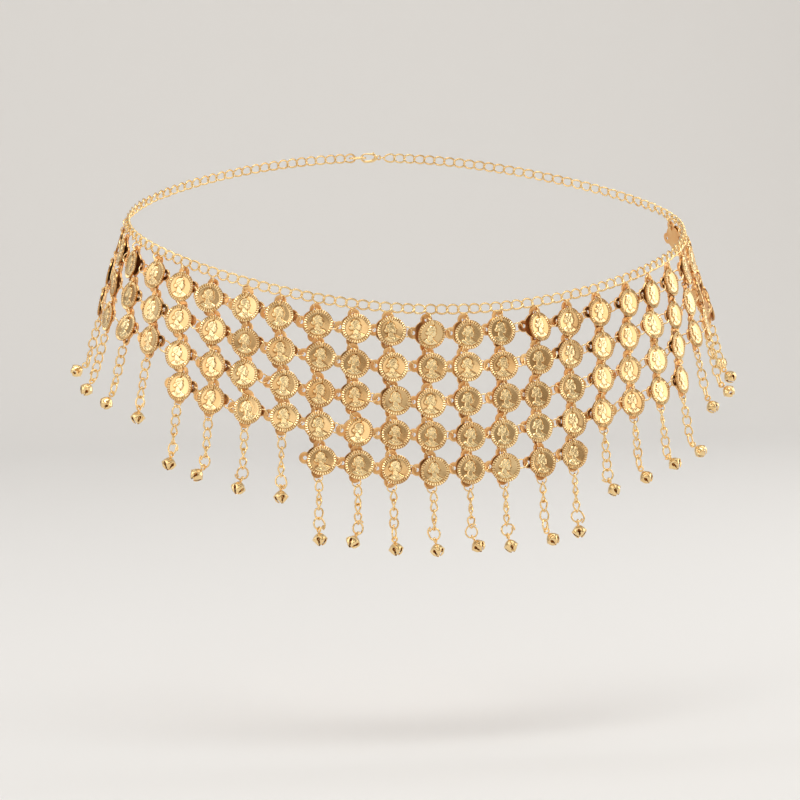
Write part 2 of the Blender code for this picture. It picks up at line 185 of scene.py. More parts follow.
def gilding_group():
    """Thin gold plating on brass, its tone uneven in smears and deeper on some pieces. Painted shade stored
    on the mesh makes the colour deeper in hollows, so that raised parts read paler.
    """
    amounts = ["Tone spread", "Smear scale", "Grain scale", "Grain height", "Polish", "Haze"]
    group, into, out = new_tree(
        "Gilding", "ShaderNodeTree",
        {"Color": ["Pale gold", "Deep gold"], "Float": amounts},
        {"Color": ["Colour"], "Float": ["Roughness"], "Vector": ["Normal"]},
    )
    place = add(group, "ShaderNodeTexCoord").outputs["Object"]
    smears = {"Vector": place, "Scale": into["Smear scale"], "Detail": 3.0}
    smear = add(group, "ShaderNodeTexNoise", smears).outputs["Fac"]
    # painted shade: a share of deep gold stored on the mesh, which stands in for shade in hollows
    tone, painted_shade = [
        add(group, "ShaderNodeAttribute", attribute_name=name).outputs["Fac"] for name in ("tone", "painted_shade")
    ]
    # the mix from pale to deep gold: random smears, the piece's random tone, and the painted shade
    uneven = maths(group, "MULTIPLY", maths(group, "SUBTRACT", smear, 0.5), SMEAR_DEPTH)
    piece = maths(group, "MULTIPLY", tone, into["Tone spread"])
    depth = maths(group, "ADD", maths(group, "ADD", uneven, piece), painted_shade)
    depth.node.use_clamp = True
    mix = add(group, "ShaderNodeMix", data_type="RGBA")
    for socket, value in zip(in_use(mix.inputs), (depth, into["Pale gold"], into["Deep gold"])):
        group.links.new(value, socket)
    group.links.new(in_use(mix.outputs)[0], out["Colour"])
    rough = maths(group, "ADD", into["Polish"], maths(group, "MULTIPLY", smear, into["Haze"]))
    group.links.new(rough, out["Roughness"])
    grains = {"Vector": place, "Scale": into["Grain scale"], "Detail": 2.0}
    grain = add(group, "ShaderNodeTexNoise", grains).outputs["Fac"]
    dents = {"Strength": into["Grain height"], "Distance": 0.0001, "Height": grain}
    group.links.new(add(group, "ShaderNodeBump", dents).outputs["Normal"], out["Normal"])
    return group


GILDING = gilding_group()


def gilt_metal(name, pale, deep, **amounts):
    """Gilt metal between two shades; each amount is named as the group's input is."""
    metal = bpy.data.materials.new(name)
    metal.use_nodes = True
    tree = metal.node_tree
    inputs = {"Pale gold": (*pale, 1.0), "Deep gold": (*deep, 1.0)}
    inputs.update({amount.replace("_", " ").capitalize(): value for amount, value in amounts.items()})
    gilding = add(tree, "ShaderNodeGroup", inputs, node_tree=GILDING)
    shader = tree.nodes["Principled BSDF"]
    shader.inputs["Metallic"].default_value = 1.0
    for given, taken in (("Colour", "Base Color"), ("Roughness", "Roughness"), ("Normal", "Normal")):
        tree.links.new(gilding.outputs[given], shader.inputs[taken])
    return metal


CHAIN_METAL = gilt_metal(
    "Gilt chain wire", pale=(0.97, 0.73, 0.38), deep=(0.76, 0.45, 0.18),
    tone_spread=0.35, smear_scale=90.0, grain_scale=1500.0, grain_height=0.10, polish=0.13, haze=0.10,
)


def shape_tree(name, **sizes):
    """Geometry Nodes tree that takes points and gives shapes, with a named input for each size."""
    shapes = {"Geometry": ["Geometry"]}
    return new_tree(name, "GeometryNodeTree", {**shapes, **sizes}, shapes)


def wire_link_tree():
    """One closed link of round wire: an oval in its own XZ plane, twisted out of it by x times z."""
    tree, into, out = shape_tree("Wire link", Float=["Length", "Width", "Wire", "Twist"], Int=["Corners"])
    loop = add(tree, "GeometryNodeCurvePrimitiveCircle", {"Resolution": into["Corners"], "Radius": 1.0})
    place = add(tree, "GeometryNodeInputPosition").outputs[0]
    split = add(tree, "ShaderNodeSeparateXYZ", {0: place}).outputs
    stretched = []
    for axis, size in (("X", "Length"), ("Y", "Width")):
        half = maths(tree, "MULTIPLY", maths(tree, "SUBTRACT", into[size], into["Wire"]), 0.5)
        stretched.append(maths(tree, "MULTIPLY", split[axis], half))
    across, up = stretched
    lift = maths(tree, "MULTIPLY", maths(tree, "MULTIPLY", across, up), into["Twist"])
    oval = add(tree, "ShaderNodeCombineXYZ", {"X": across, "Y": lift, "Z": up}).outputs[0]
    path = add(tree, "GeometryNodeSetPosition", {"Geometry": loop.outputs["Curve"], "Position": oval})
    section = {"Resolution": WIRE_SIDES, "Radius": maths(tree, "MULTIPLY", into["Wire"], 0.5)}
    outline = add(tree, "GeometryNodeCurvePrimitiveCircle", section).outputs["Curve"]
    sweep = {"Curve": path.outputs["Geometry"], "Profile Curve": outline}
    wire = add(tree, "GeometryNodeCurveToMesh", sweep).outputs["Mesh"]
    smooth = add(tree, "GeometryNodeSetShadeSmooth", {"Geometry": wire})
    tree.links.new(smooth.outputs["Geometry"], out["Geometry"])
    return tree


WIRE_LINK = wire_link_tree()


def hang(tree, into, kind, shape, metal):
    """Sets a shape on the points of one kind, as they are turned and stretched, in its metal."""

    def attribute(name, data_type):
        node = add(tree, "GeometryNodeInputNamedAttribute", {"Name": name}, data_type=data_type)
        return node.outputs["Attribute"]

    same = add(tree, "FunctionNodeCompare", data_type="INT", operation="EQUAL")
    numbers = [socket for socket in same.inputs if socket.type == "INT"]
    tree.links.new(attribute("kind", "INT"), numbers[0])
    numbers[1].default_value = kind
    onto = add(tree, "GeometryNodeInstanceOnPoints", {
        "Points": into["Geometry"], "Selection": same.outputs["Result"], "Instance": shape,
        "Rotation": attribute("turn", "QUATERNION"), "Scale": attribute("stretch", "FLOAT_VECTOR"),
    })
    number = maths(tree, "ADD", add(tree, "GeometryNodeInputIndex").outputs[0], into["Seed"])
    tone = add(tree, "FunctionNodeRandomValue", {"Seed": kind, "ID": number}, data_type="FLOAT")
    toned = {"Geometry": onto.outputs["Instances"], "Name": "tone", "Value": in_use(tone.outputs)[0]}
    store = add(tree, "GeometryNodeStoreNamedAttribute", toned, data_type="FLOAT", domain="INSTANCE")
    real = add(tree, "GeometryNodeRealizeInstances", {"Geometry": store.outputs["Geometry"]})
    painted = {"Geometry": real.outputs["Geometry"], "Material": into[metal]}
    return add(tree, "GeometryNodeSetMaterial", painted).outputs["Geometry"]


def piece_tree(name, *rows):
    """Tree that hangs a shape on each point of a kind; every row has the kind, its shape and metal.

    A shape is the name of an object, or the number of corners of a wire link with the names of its
    length, width, wire and twist. All these names, and the metals', are the tree's inputs.
    """
    objects = [shape for _, shape, _ in rows if isinstance(shape, str)]
    wire_links = [shape for _, shape, _ in rows if isinstance(shape, tuple)]
    sizes = dict.fromkeys(size for _, *names in wire_links for size in names)
    metals = dict.fromkeys(metal for _, _, metal in rows)
    tree, into, out = shape_tree(name, Float=sizes, Object=objects, Int=["Seed"], Material=metals)
    join = add(tree, "GeometryNodeJoinGeometry")
    for kind, shape, metal in rows:
        if shape in objects:
            source = add(tree, "GeometryNodeObjectInfo", {"Object": into[shape]}, transform_space="ORIGINAL")
        else:
            corners, *names = shape
            given = {"Corners": corners}
            given.update(zip(("Length", "Width", "Wire", "Twist"), [into[size] for size in names]))
            source = add(tree, "GeometryNodeGroup", given, node_tree=WIRE_LINK)
        tree.links.new(hang(tree, into, kind, source.outputs["Geometry"], metal), join.inputs["Geometry"])
    tree.links.new(join.outputs["Geometry"], out["Geometry"])
    return tree


def piece_on_points(name, places, tree, values):
    """Object made by a tree on places (kind, matrix, stretch), as one plain mesh."""
    mesh = bpy.data.meshes.new(name)
    mesh.from_pydata([matrix.to_translation() for _, matrix, _ in places], [], [])
    attributes = (
        ("kind", "INT", "value", [kind for kind, _, _ in places]),
        ("turn", "QUATERNION", "value", [part for _, matrix, _ in places for part in matrix.to_quaternion()]),
        ("stretch", "FLOAT_VECTOR", "vector", [part for _, _, stretch in places for part in stretch]),
    )
    for attribute, data_type, field, numbers in attributes:
        mesh.attributes.new(attribute, data_type, "POINT").data.foreach_set(field, numbers)
    piece = new_object(name, mesh)
    build = piece.modifiers.new("Build", "NODES")
    build.node_group = tree
    inputs = {item.name: item.identifier for item in tree.interface.items_tree if item.in_out == "INPUT"}
    for size, value in values.items():
        build[inputs[size]] = value
    depsgraph = bpy.context.evaluated_depsgraph_get()
    evaluated = piece.evaluated_get(depsgraph)
    finished = bpy.data.meshes.new_from_object(evaluated, preserve_all_data_layers=True, depsgraph=depsgraph)
    piece.modifiers.remove(build)
    piece.data = finished
    bpy.data.meshes.remove(mesh)
    finished.name = name
    for attribute, _, _, _ in attributes:
        if attribute in finished.attributes:
            finished.attributes.remove(finished.attributes[attribute])
    return piece


CHAIN_LINK = (LINK_CORNERS, "Link length", "Link width", "Wire", "Twist")
CHAIN_TREE = piece_tree("Waist chain", (0, CHAIN_LINK, "Metal"))
FULL_SIZE = (1.0, 1.0, 1.0)
hang_of_chain = np.random.default_rng(11)
for node, first, last in CHAIN_PIECES:
    places = []
    for link in range(first, last):
        lie = chain_frame((link + 0.5) * LINK_PITCH) @ moved(0.0, -CHAIN_STAND_OFF, 0.0)
        lie = lie @ turned(hang_of_chain.normal(0.0, LINK_ROLL), "X")
        places.append((0, lie @ turned(hang_of_chain.normal(0.0, LINK_TIP), "Y"), FULL_SIZE))
    values = {
        "Link length": LINK_LENGTH, "Link width": LINK_WIDTH, "Wire": CHAIN_WIRE, "Twist": CHAIN_TWIST,
        "Seed": first + CHAIN_SEED, "Metal": CHAIN_METAL,
    }
    links_piece = piece_on_points(f"{node}_links", places, CHAIN_TREE, values)
    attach(links_piece, "root")
    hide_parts(node)

# Stamped plates
# Each cell of the net has a thin stamped disc with four round ears, raised along its edge and
# pierced in each ear. Twenty-four columns of three, four or five hang side by side from the chain.

COLUMNS = 24
COLUMN_PITCH = 0.022
ROW_PITCH = 0.020
FIRST_DROP = 0.0142
ROWS_BY_REACH = (
    # columns out from the middle of the front, plates in each of them
    (4, 5),
    (8, 4),
    (12, 3),
)
MOST_ROWS = ROWS_BY_REACH[0][1]
PLATE_TURN_SHARE = 0.5  # a plate turns by this share of its row's slope
SWAY_SIDE, SWAY_UP = 0.0008, 0.0005
SIDE_WAVE, UP_WAVE = (2.3, 1.7), (1.9, -2.6)  # radians of sway for each column and each row
MM = 0.001
PLATE_RADIUS = 7.6
EAR_MIDDLE = 7.8
EAR_RADIUS = 3.6
EAR_HOLE_RADIUS = 1.2
HOLE_CORNERS = 10
EAR_STEPS, DISC_STEPS = 12, 5  # straight pieces round an ear, and round the disc to the next ear
EAR_PULL = 0.0083  # from the plate's middle to the wire in an ear's hole
PLATE_STEPS = (
    # in from the edge, height over the plate's sheet
    (0.0, 0.0),
    (0.30, 0.42),
    (1.00, 0.06),
)
PLATE_SHEET = 0.55
PLATE_RIDGE, PLATE_PAINTED_SHADE = 0.2, 0.60  # below this height, painted shade makes the colour this much deeper
STAMPED_CREASE = 38.0  # degrees: an edge that bends more is sharp
FRONT_REACH, FRONT_SHIFT = 0.095, 0.2  # where the front's lie of the net fades out
PLATE_SHIFT = 0.0026  # in the middle of the front the plates stand to the left of their coins
PLATE_SIDE = 0.0006
PLATE_RISE = 0.0005
PLATE_LAP = (3.0, 4.0)  # degrees: left and upper ears lap over the neighbours' right and lower ones
PLATE_UNEVENNESS = 1.6  # degrees
PLATE_TILTS = np.random.default_rng(3).normal(0.0, PLATE_UNEVENNESS, (COLUMNS, MOST_ROWS, 2))


def rows_in(column):
    reach = abs(column - (COLUMNS - 1) / 2.0)
    return next(rows for limit, rows in ROWS_BY_REACH if reach < limit)


def column_length(column):
    return (column - (COLUMNS - 1) / 2.0) * COLUMN_PITCH


def column_frame(column):
    top = chain_point(column_length(column))
    arc = float(np.interp(column_length(column), CHAIN_LENGTH, CHAIN_ARC))
    foot = hip_point(arc, top.z - ROW_PITCH * MOST_ROWS)
    right = (-hip_normal(top)).cross(top - foot).normalized()
    return facing_frame(top, right, -hip_normal(top))


def row_slope(column):
    along = chain_frame(column_length(column)).to_3x3().col[0]
    local = column_frame(column).to_3x3().inverted() @ along
    return atan2(local.z, local.x)


def plate_middle(column, row):
    side = SWAY_SIDE * sin(SIDE_WAVE[0] * column + SIDE_WAVE[1] * row)
    up = SWAY_UP * cos(UP_WAVE[0] * column + UP_WAVE[1] * row)
    return Vector((side, 0.0, up - FIRST_DROP / cos(row_slope(column)) - ROW_PITCH * row))


def cell_matrix(column, row, shift=Vector()):
    """Frame of a cell of the net: X along its row, Z up its column."""
    turn = Matrix.Rotation(-PLATE_TURN_SHARE * row_slope(column), 4, "Y")
    return column_frame(column) @ Matrix.Translation(plate_middle(column, row) + shift) @ turn


def frontness(column):
    """1 near the middle of the front, where the net lies aslant under its coins, and 0 at the sides."""
    return exp(-((column_length(column) / FRONT_REACH + FRONT_SHIFT) ** 2))


def plate_matrix(column, row):
    """Where a plate lies: X through its right ear, Z through its top ear."""
    yaw, nod = PLATE_TILTS[column, row] + PLATE_LAP
    side = PLATE_SIDE - PLATE_SHIFT * frontness(column)
    lap = turned(yaw, "Z") @ turned(nod, "X")
    return cell_matrix(column, row, Vector((side, 0.0, PLATE_RISE))) @ lap


def inside(loop, points):
    """True for each point that lies inside a closed loop."""
    hits = np.zeros(len(points), dtype=bool)
    for (x0, y0), (x1, y1) in zip(loop, loop[1:] + loop[:1]):
        crosses = (y0 > points[:, 1]) != (y1 > points[:, 1])
        rise = (y1 - y0) if y1 != y0 else 1e-9
        hits ^= crosses & (points[:, 0] < (x1 - x0) * (points[:, 1] - y0) / rise + x0)
    return hits


def ring_of(radius, count, middle=(0.0, 0.0)):
    angles = [2.0 * pi * i / count for i in range(count)]
    return [(middle[0] + radius * cos(a), middle[1] + radius * sin(a)) for a in angles]


def chosen(things, wanted):
    return [thing for thing, is_wanted in zip(things, wanted) if is_wanted]


def flat_faces(loops, fill):
    """Corners, faces and their middles between closed loops, with a corner at each loose point too."""
    points, edges = [], []
    for loop in loops:
        start = len(points)
        points.extend(loop)
        edges.extend((start + i, start + (i + 1) % len(loop)) for i in range(len(loop)))
    points.extend(fill)
    flat, _, faces, _, _, _ = delaunay_2d_cdt([Vector(p) for p in points], edges, [], 0, 1e-5)
    places = np.array([tuple(p) for p in flat])
    return flat, faces, np.array([places[list(face)].mean(axis=0) for face in faces])


def drop_loose(bm):
    bmesh.ops.delete(bm, geom=[v for v in bm.verts if not v.link_faces], context="VERTS")


def finished_mesh(name, bm, crease):
    """Mesh in metres of a shape in millimetres, smooth but for edges that bend more than crease."""
    mesh = bpy.data.meshes.new(name)
    bm.to_mesh(mesh)
    bm.free()
    mesh.transform(Matrix.Scale(MM, 4))
    mesh.shade_smooth()
    mesh.set_sharp_from_angle(angle=radians(crease))
    return mesh


def stamped_mesh(name, edge, holes, creases, fill, relief, hollow, sheet):
    """Stamped sheet metal: a flat back at Y 0 and a relief on the front, towards -Y.

    edge and holes are closed loops, creases are more loops that the relief's edges follow, fill is
    loose points, relief gives the height over the sheet and hollow gives the painted shade, how much deeper
    the colour is painted to stand in for shade.
    """
    flat, faces, middles = flat_faces((edge, *holes, *creases), fill)
    kept = inside(edge, middles)
    for hole in holes:
        kept &= ~inside(hole, middles)
    heights = relief(np.array([tuple(p) for p in flat]))
    bm = bmesh.new()
    front = [bm.verts.new((x, -(sheet + height), y)) for (x, y), height in zip(flat, heights)]
    for face in chosen(faces, kept):
        bm.faces.new([front[i] for i in face])
    drop_loose(bm)
    rim = [side for side in bm.edges if side.is_boundary]
    dropped = bmesh.ops.extrude_edge_only(bm, edges=rim)["geom"]
    for vertex in dropped:
        if isinstance(vertex, bmesh.types.BMVert):
            vertex.co.y = 0.0
    back = [side for side in dropped if isinstance(side, bmesh.types.BMEdge) and side.is_boundary]
    bmesh.ops.triangle_fill(bm, edges=back, use_beauty=True)
    bmesh.ops.recalc_face_normals(bm, faces=bm.faces)
    spots = np.array([(v.co.x, v.co.z, -v.co.y) for v in bm.verts])
    # painted shade: how much deeper the colour is painted at each corner, stored for the gilding
    depth = hollow(spots[:, :2], spots[:, 2] - sheet).astype(np.float32)
    mesh = finished_mesh(name, bm, STAMPED_CREASE)
    mesh.attributes.new("painted_shade", "FLOAT", "POINT").data.foreach_set("value", depth)
    return mesh


def four_times(quarter):
    """A quarter of an outline, repeated all round."""
    turns = [Matrix.Rotation(i * pi / 2.0, 2) for i in range(4)]
    return [tuple(turn @ Vector(point)) for turn in turns for point in quarter]


def eared_outline(inset):
    """The plate's edge, or the line that lies a little inside it all round."""
    disc, ear = PLATE_RADIUS - inset, EAR_RADIUS - inset
    meet = acos((disc**2 + EAR_MIDDLE**2 - ear**2) / (2.0 * disc * EAR_MIDDLE))
    sweep = pi - acos((ear**2 + EAR_MIDDLE**2 - disc**2) / (2.0 * ear * EAR_MIDDLE))
    quarter = []
    for i in range(EAR_STEPS + 1):
        angle = sweep * (2.0 * i / EAR_STEPS - 1.0)
        quarter.append((EAR_MIDDLE + ear * cos(angle), ear * sin(angle)))
    for i in range(1, DISC_STEPS):
        angle = meet + (pi / 2.0 - 2.0 * meet) * i / DISC_STEPS
        quarter.append((disc * cos(angle), disc * sin(angle)))
    return four_times(quarter)


def plate_relief(places):
    """Height of the plate's raised edge, from how far inside its outline a point lies."""
    heights = np.full(len(places), PLATE_STEPS[-1][1])
    for (step, height), (following, _) in reversed(list(zip(PLATE_STEPS, PLATE_STEPS[1:]))):
        heights[~inside(eared_outline((step + following) / 2.0), places)] = height
    return heights


def plate_painted_shade(places, heights):
    """Painted shade: the colour is painted deeper inside the raised edge, which stays pale."""
    return np.where(heights > PLATE_RIDGE, 0.0, PLATE_PAINTED_SHADE)


def plate_mesh():
    ears = [(EAR_MIDDLE, 0.0), (0.0, EAR_MIDDLE), (-EAR_MIDDLE, 0.0), (0.0, -EAR_MIDDLE)]
    return stamped_mesh(
        "plate",
        edge=eared_outline(0.0),
        holes=[ring_of(EAR_HOLE_RADIUS, HOLE_CORNERS, ear) for ear in ears],
        creases=[eared_outline(step) for step, _ in PLATE_STEPS[1:]],
        fill=[],
        relief=plate_relief,
        hollow=plate_painted_shade,
        sheet=PLATE_SHEET,
    )


PLATE_METAL = gilt_metal(
    "Gilt plate", pale=(1.0, 0.74, 0.37), deep=(0.80, 0.38, 0.13),
    tone_spread=0.30, smear_scale=120.0, grain_scale=900.0, grain_height=0.18, polish=0.30, haze=0.20,
)
PLATE = new_object("plate", plate_mesh())

# Coins
# A stamped brass coin hangs in front of each plate from the ring above it, through a small hole.
# Its rim is a row of short bars, and on its flat field stands a plain bust in profile.

COIN_RADIUS = 8.65
COIN_SHEET = 0.65
BARS = 35
BAR_POINTS = 4
BAR_LEVEL, BAR_SWING = 0.62, 0.9  # how wide the bars are, and how steep their ends
BAR_STEPS = (
    # radius, height between the bars, height on the bars
    (8.38, 0.06, 0.46),
    (7.70, 0.02, 0.62),
    (6.98, 0.02, 0.48),
)
COIN_EDGE_HEIGHT = 0.16
FIELD_RADIUS = 6.7
FIELD_DISH = 0.16
COIN_HOLE_MIDDLE = (0.0, 5.75)
COIN_HOLE_RADIUS = 0.72
BUST_PARTS = (
    # name, height of its middle, how soon it rises from its edge, its outline
    ("shoulders", 0.52, 0.30, (
        (-1.2, -2.4), (1.3, -2.5), (2.3, -3.2), (3.6, -3.9), (4.6, -4.7), (2.6, -5.9), (0.0, -6.35),
        (-2.6, -5.9), (-4.7, -4.6), (-3.7, -3.6), (-2.3, -2.9),
    )),
    ("neck", 0.56, 0.35, (
        (-1.9, 0.2), (1.1, -0.2), (0.95, -1.4), (1.15, -2.4), (2.0, -3.1), (0.4, -4.6), (-2.0, -3.6),
        (-2.1, -2.3), (-1.95, -1.0),
    )),
    ("face", 0.66, 0.50, (
        (-1.3, 4.7), (0.6, 4.95), (1.6, 4.35), (2.02, 3.6), (2.08, 2.85), (1.93, 2.4), (2.36, 1.7),
        (2.83, 1.0), (2.33, 0.7), (2.48, 0.36), (2.23, 0.12), (2.38, -0.2), (2.06, -0.42),
        (2.2, -0.9), (1.75, -1.3), (0.9, -1.0), (-0.4, 0.0), (-1.6, 0.8), (-2.4, 2.2),
    )),
    ("hair", 0.74, 0.40, (
        (1.45, 4.45), (0.95, 3.5), (0.4, 2.7), (0.1, 1.7), (-0.6, 1.0), (-0.95, 0.0), (-1.7, -0.4),
        (-2.35, 0.2), (-2.9, 1.3), (-3.2, 2.5), (-2.9, 3.8), (-1.9, 4.8), (-0.5, 5.25), (0.7, 5.05),
    )),
    ("knot", 0.72, 0.35, (
        (-2.4, 1.5), (-2.05, 0.7), (-2.25, -0.3), (-3.0, -0.8), (-3.9, -0.35), (-4.25, 0.55),
        (-3.85, 1.45), (-3.1, 1.8),
    )),
)
EDGE_SHARE = 0.5  # height of a part at its edge, of the height of its middle
OUTLINE_STEP = 0.5
ON_OUTLINE, ON_BARS, ON_EDGE = 0.02, 0.12, 0.1  # a place this near one of these lies on it
OUTLINE_GAP = 0.22
OUTLINE_RIDGE, RIDGE_SPREAD = 0.14, 0.16
GROOVE_REACH = 0.30
GROOVE_SIDES = (0.5, 1.15)  # where the groove starts and ends, as shares of its reach
GROOVE_DEPTH = 0.06
STRANDS_MIDDLE, STRANDS, STRAND_HEIGHT = (-3.1, 0.8), 14.0, 0.08  # the hair fans out from its knot
RIBBON = [(1.5, 3.85), (0.3, 3.7), (-1.35, 3.0), (-2.9, 1.95)]
RIBBON_HALF_WIDTH, RIBBON_HEIGHT = 0.30, 0.14
FOLDS = (
    # lines of the dress, from the shoulders down to the edge
    [(-2.6, -3.6), (-1.0, -4.7), (0.4, -6.0)],
    [(-1.6, -3.1), (0.2, -4.2), (1.9, -5.6)],
    [(1.4, -3.2), (0.3, -4.0), (-1.4, -5.6)],
)
FOLD_SPREAD, FOLD_HEIGHT = 0.22, 0.20
FEATURES = (
    # the eye, then the ear: a bump and the hollow by it, each with its middle, radius and height
    (((1.35, 2.2), 0.30, 0.09), ((1.25, 2.7), 0.40, 0.07)),
    (((-0.5, 1.6), 0.55, 0.12), ((-0.5, 1.6), 0.25, 0.14)),
)
RAISED_FROM, RAISED_OVER = 0.18, 0.22  # from this height, and over this much more, the painted shade fades out, so raised parts read paler
# painted shade on the coin's field, as a share of deep gold
FIELD_PAINTED_SHADE = 0.50
FIELD_MARGIN = 0.3
BUST_PITCH, FIELD_PITCH = 0.30, 0.62
ROW_SHARE = 0.866  # from row to row in a staggered pattern, as a share of its pitch
GAP_SHARE, CLEAR_SHARE = 1.7, 0.85  # how clear of a line the loose points stay


def distance_to(loop, places, closed=True):
    """Distance from each place to a line of points."""
    best = np.full(len(places), 1e9)
    following = loop[1:] + loop[:1] if closed else loop[1:]
    for (x0, y0), (x1, y1) in zip(loop, following):
        along = np.array((x1 - x0, y1 - y0))
        off = places - np.array((x0, y0))
        share = np.clip(off @ along / (along @ along), 0.0, 1.0)
        best = np.minimum(best, np.linalg.norm(off - share[:, None] * along, axis=1))
    return best


def bump_at(places, middle, radius, height):
    away = np.linalg.norm(places - np.array(middle), axis=1)
    return height * np.exp(-((away / radius) ** 2))


def rounded(points, step):
    """Smooth closed curve through a few points, as a loop of points a step apart."""
    loop = []
    count = len(points)
    for i in range(count):
        before, here, there, after = [Vector(points[(i + k) % count]) for k in (-1, 0, 1, 2)]
        pieces = max(1, round((there - here).length / step))
        for k in range(pieces):
            t = k / pieces
            turn_in, turn_out = (there - before) / 2.0, (after - here) / 2.0
            place = here * (2 * t**3 - 3 * t**2 + 1) + there * (3 * t**2 - 2 * t**3)
            place += turn_in * (t**3 - 2 * t**2 + t) + turn_out * (t**3 - t**2)
            loop.append(tuple(place))
    return loop


BUST_OUTLINES = {name: rounded(outline, OUTLINE_STEP) for name, _, _, outline in BUST_PARTS}


def clear_of(loop, places, gap):
    """The places that lie farther than a gap from a closed loop."""
    return chosen(places, distance_to(loop, np.array(places)) > gap)


def beside(loop, gap, inwards):
    """The points of a loop moved in or out, without those that come too near its other side."""
    places = []
    for i, point in enumerate(loop):
        before, after = Vector(loop[i - 1]), Vector(loop[(i + 1) % len(loop)])
        run = (after - before).normalized()
        for side in (-1.0, 1.0):
            place = Vector(point) + Vector((-run.y, run.x)) * gap * side
            if inside(loop, np.array([place]))[0] == inwards:
                places.append(tuple(place))
    return clear_of(loop, places, CLEAR_SHARE * gap)


def nearest_outline(places):
    return np.min([distance_to(outline, places) for outline in BUST_OUTLINES.values()], axis=0)


def on_bust(places):
    return np.any([inside(outline, places) for outline in BUST_OUTLINES.values()], axis=0)


def in_groove(places):
    """Whether a place lies in the narrow groove that runs round the bust."""
    away = nearest_outline(places)
    start, end = GROOVE_SIDES
    return ~on_bust(places) & (away > start * GROOVE_REACH) & (away < end * GROOVE_REACH)


def coin_relief(places):
    radius = np.hypot(places[:, 0], places[:, 1])
    angle = np.arctan2(places[:, 1], places[:, 0])
    heights = FIELD_DISH * (radius / FIELD_RADIUS) ** 2
    for name, height, rise, _ in BUST_PARTS:
        outline = BUST_OUTLINES[name]
        depth = distance_to(outline, places)
        belongs = inside(outline, places) | (depth < ON_OUTLINE)
        top = height * (1.0 - (1.0 - EDGE_SHARE) * np.exp(-depth / rise))
        top += OUTLINE_RIDGE * np.exp(-(((depth - OUTLINE_GAP) / RIDGE_SPREAD) ** 2))
        if name in ("hair", "knot"):
            x, y = STRANDS_MIDDLE
            around = np.arctan2(places[:, 1] - y, places[:, 0] - x)
            top = top + STRAND_HEIGHT * np.cos(around * STRANDS)
        heights = np.where(belongs, top, heights)
    heights -= np.where(in_groove(places), GROOVE_DEPTH, 0.0)
    ribbon = distance_to(RIBBON, places, closed=False)
    heights += np.where(ribbon < RIBBON_HALF_WIDTH, RIBBON_HEIGHT, 0.0)
    for fold in FOLDS:
        away = distance_to(fold, places, closed=False)
        heights += FOLD_HEIGHT * np.exp(-((away / FOLD_SPREAD) ** 2))
    for bump, hollow in FEATURES:
        heights += bump_at(places, *bump) - bump_at(places, *hollow)
    on_bar = np.clip(BAR_LEVEL + BAR_SWING * np.cos(angle * BARS), 0.0, 1.0)
    for bar_radius, low, high in BAR_STEPS:
        at_bar = np.abs(radius - bar_radius) < ON_BARS
        heights = np.where(at_bar, low + (high - low) * on_bar, heights)
    return np.where(radius > COIN_RADIUS - ON_EDGE, COIN_EDGE_HEIGHT, heights)


def coin_painted_shade(places, heights):
    """Painted shade: the colour is painted deeper on the field, standing in for the dark that it reflects,
    and deepest between the bars and in the groove round the bust, where shade falls.
    """
    raised = np.clip((heights - RAISED_FROM) / RAISED_OVER, 0.0, 1.0)
    between_bars = np.hypot(places[:, 0], places[:, 1]) > FIELD_RADIUS + ON_EDGE
    depth = np.where(between_bars, 1.0, FIELD_PAINTED_SHADE) * (1.0 - raised)
    return np.where(in_groove(places), 1.0, depth)


def field_points(pitch, of_bust, gap):
    """Points in staggered rows on the bust or on the field round it, a gap away from the outlines."""
    columns, rows = int(FIELD_RADIUS / pitch) + 1, int(FIELD_RADIUS / (pitch * ROW_SHARE)) + 1
    places = np.array([
        ((k + 0.5 * (i % 2)) * pitch, i * pitch * ROW_SHARE)
        for i in range(-rows, rows + 1) for k in range(-columns, columns + 1)
    ])
    wanted = (on_bust(places) == of_bust) & (nearest_outline(places) > gap)
    wanted &= np.hypot(places[:, 0], places[:, 1]) < FIELD_RADIUS - FIELD_MARGIN
    from_hole = np.linalg.norm(places - np.array(COIN_HOLE_MIDDLE), axis=1)
    wanted &= from_hole > COIN_HOLE_RADIUS + FIELD_MARGIN
    return [tuple(place) for place in places[wanted]]


def coin_mesh():
    outlines = list(BUST_OUTLINES.values())
    crests = [point for outline in outlines for point in beside(outline, OUTLINE_GAP, inwards=True)]
    groove = [point for outline in outlines for point in beside(outline, GROOVE_REACH, inwards=False)]
    groove = chosen(groove, in_groove(np.array(groove)))
    bust = field_points(BUST_PITCH, of_bust=True, gap=GAP_SHARE * OUTLINE_GAP)
    field = field_points(FIELD_PITCH, of_bust=False, gap=GAP_SHARE * GROOVE_REACH)
    bars = [ring_of(radius, BAR_POINTS * BARS) for radius, _, _ in BAR_STEPS]
    return stamped_mesh(
        "coin",
        edge=ring_of(COIN_RADIUS, 2 * BARS),
        holes=[ring_of(COIN_HOLE_RADIUS, HOLE_CORNERS, COIN_HOLE_MIDDLE)],
        creases=[*bars, ring_of(FIELD_RADIUS, 2 * BARS), *outlines],
        fill=crests + groove + bust + field,
        relief=coin_relief,
        hollow=coin_painted_shade,
        sheet=COIN_SHEET,
    )


COIN_METAL = gilt_metal(
    "Gilt coin", pale=(1.0, 0.79, 0.44), deep=(0.60, 0.33, 0.12),
    tone_spread=0.22, smear_scale=70.0, grain_scale=600.0, grain_height=0.15, polish=0.14, haze=0.12,
)
COIN = new_object("coin", coin_mesh())

# Rings of the net
# Small rings of round wire join ear to ear, sideways and one row to the next. The topmost one of a
# column goes through a link of the waist chain, and one more on its last ear carries the dangle.

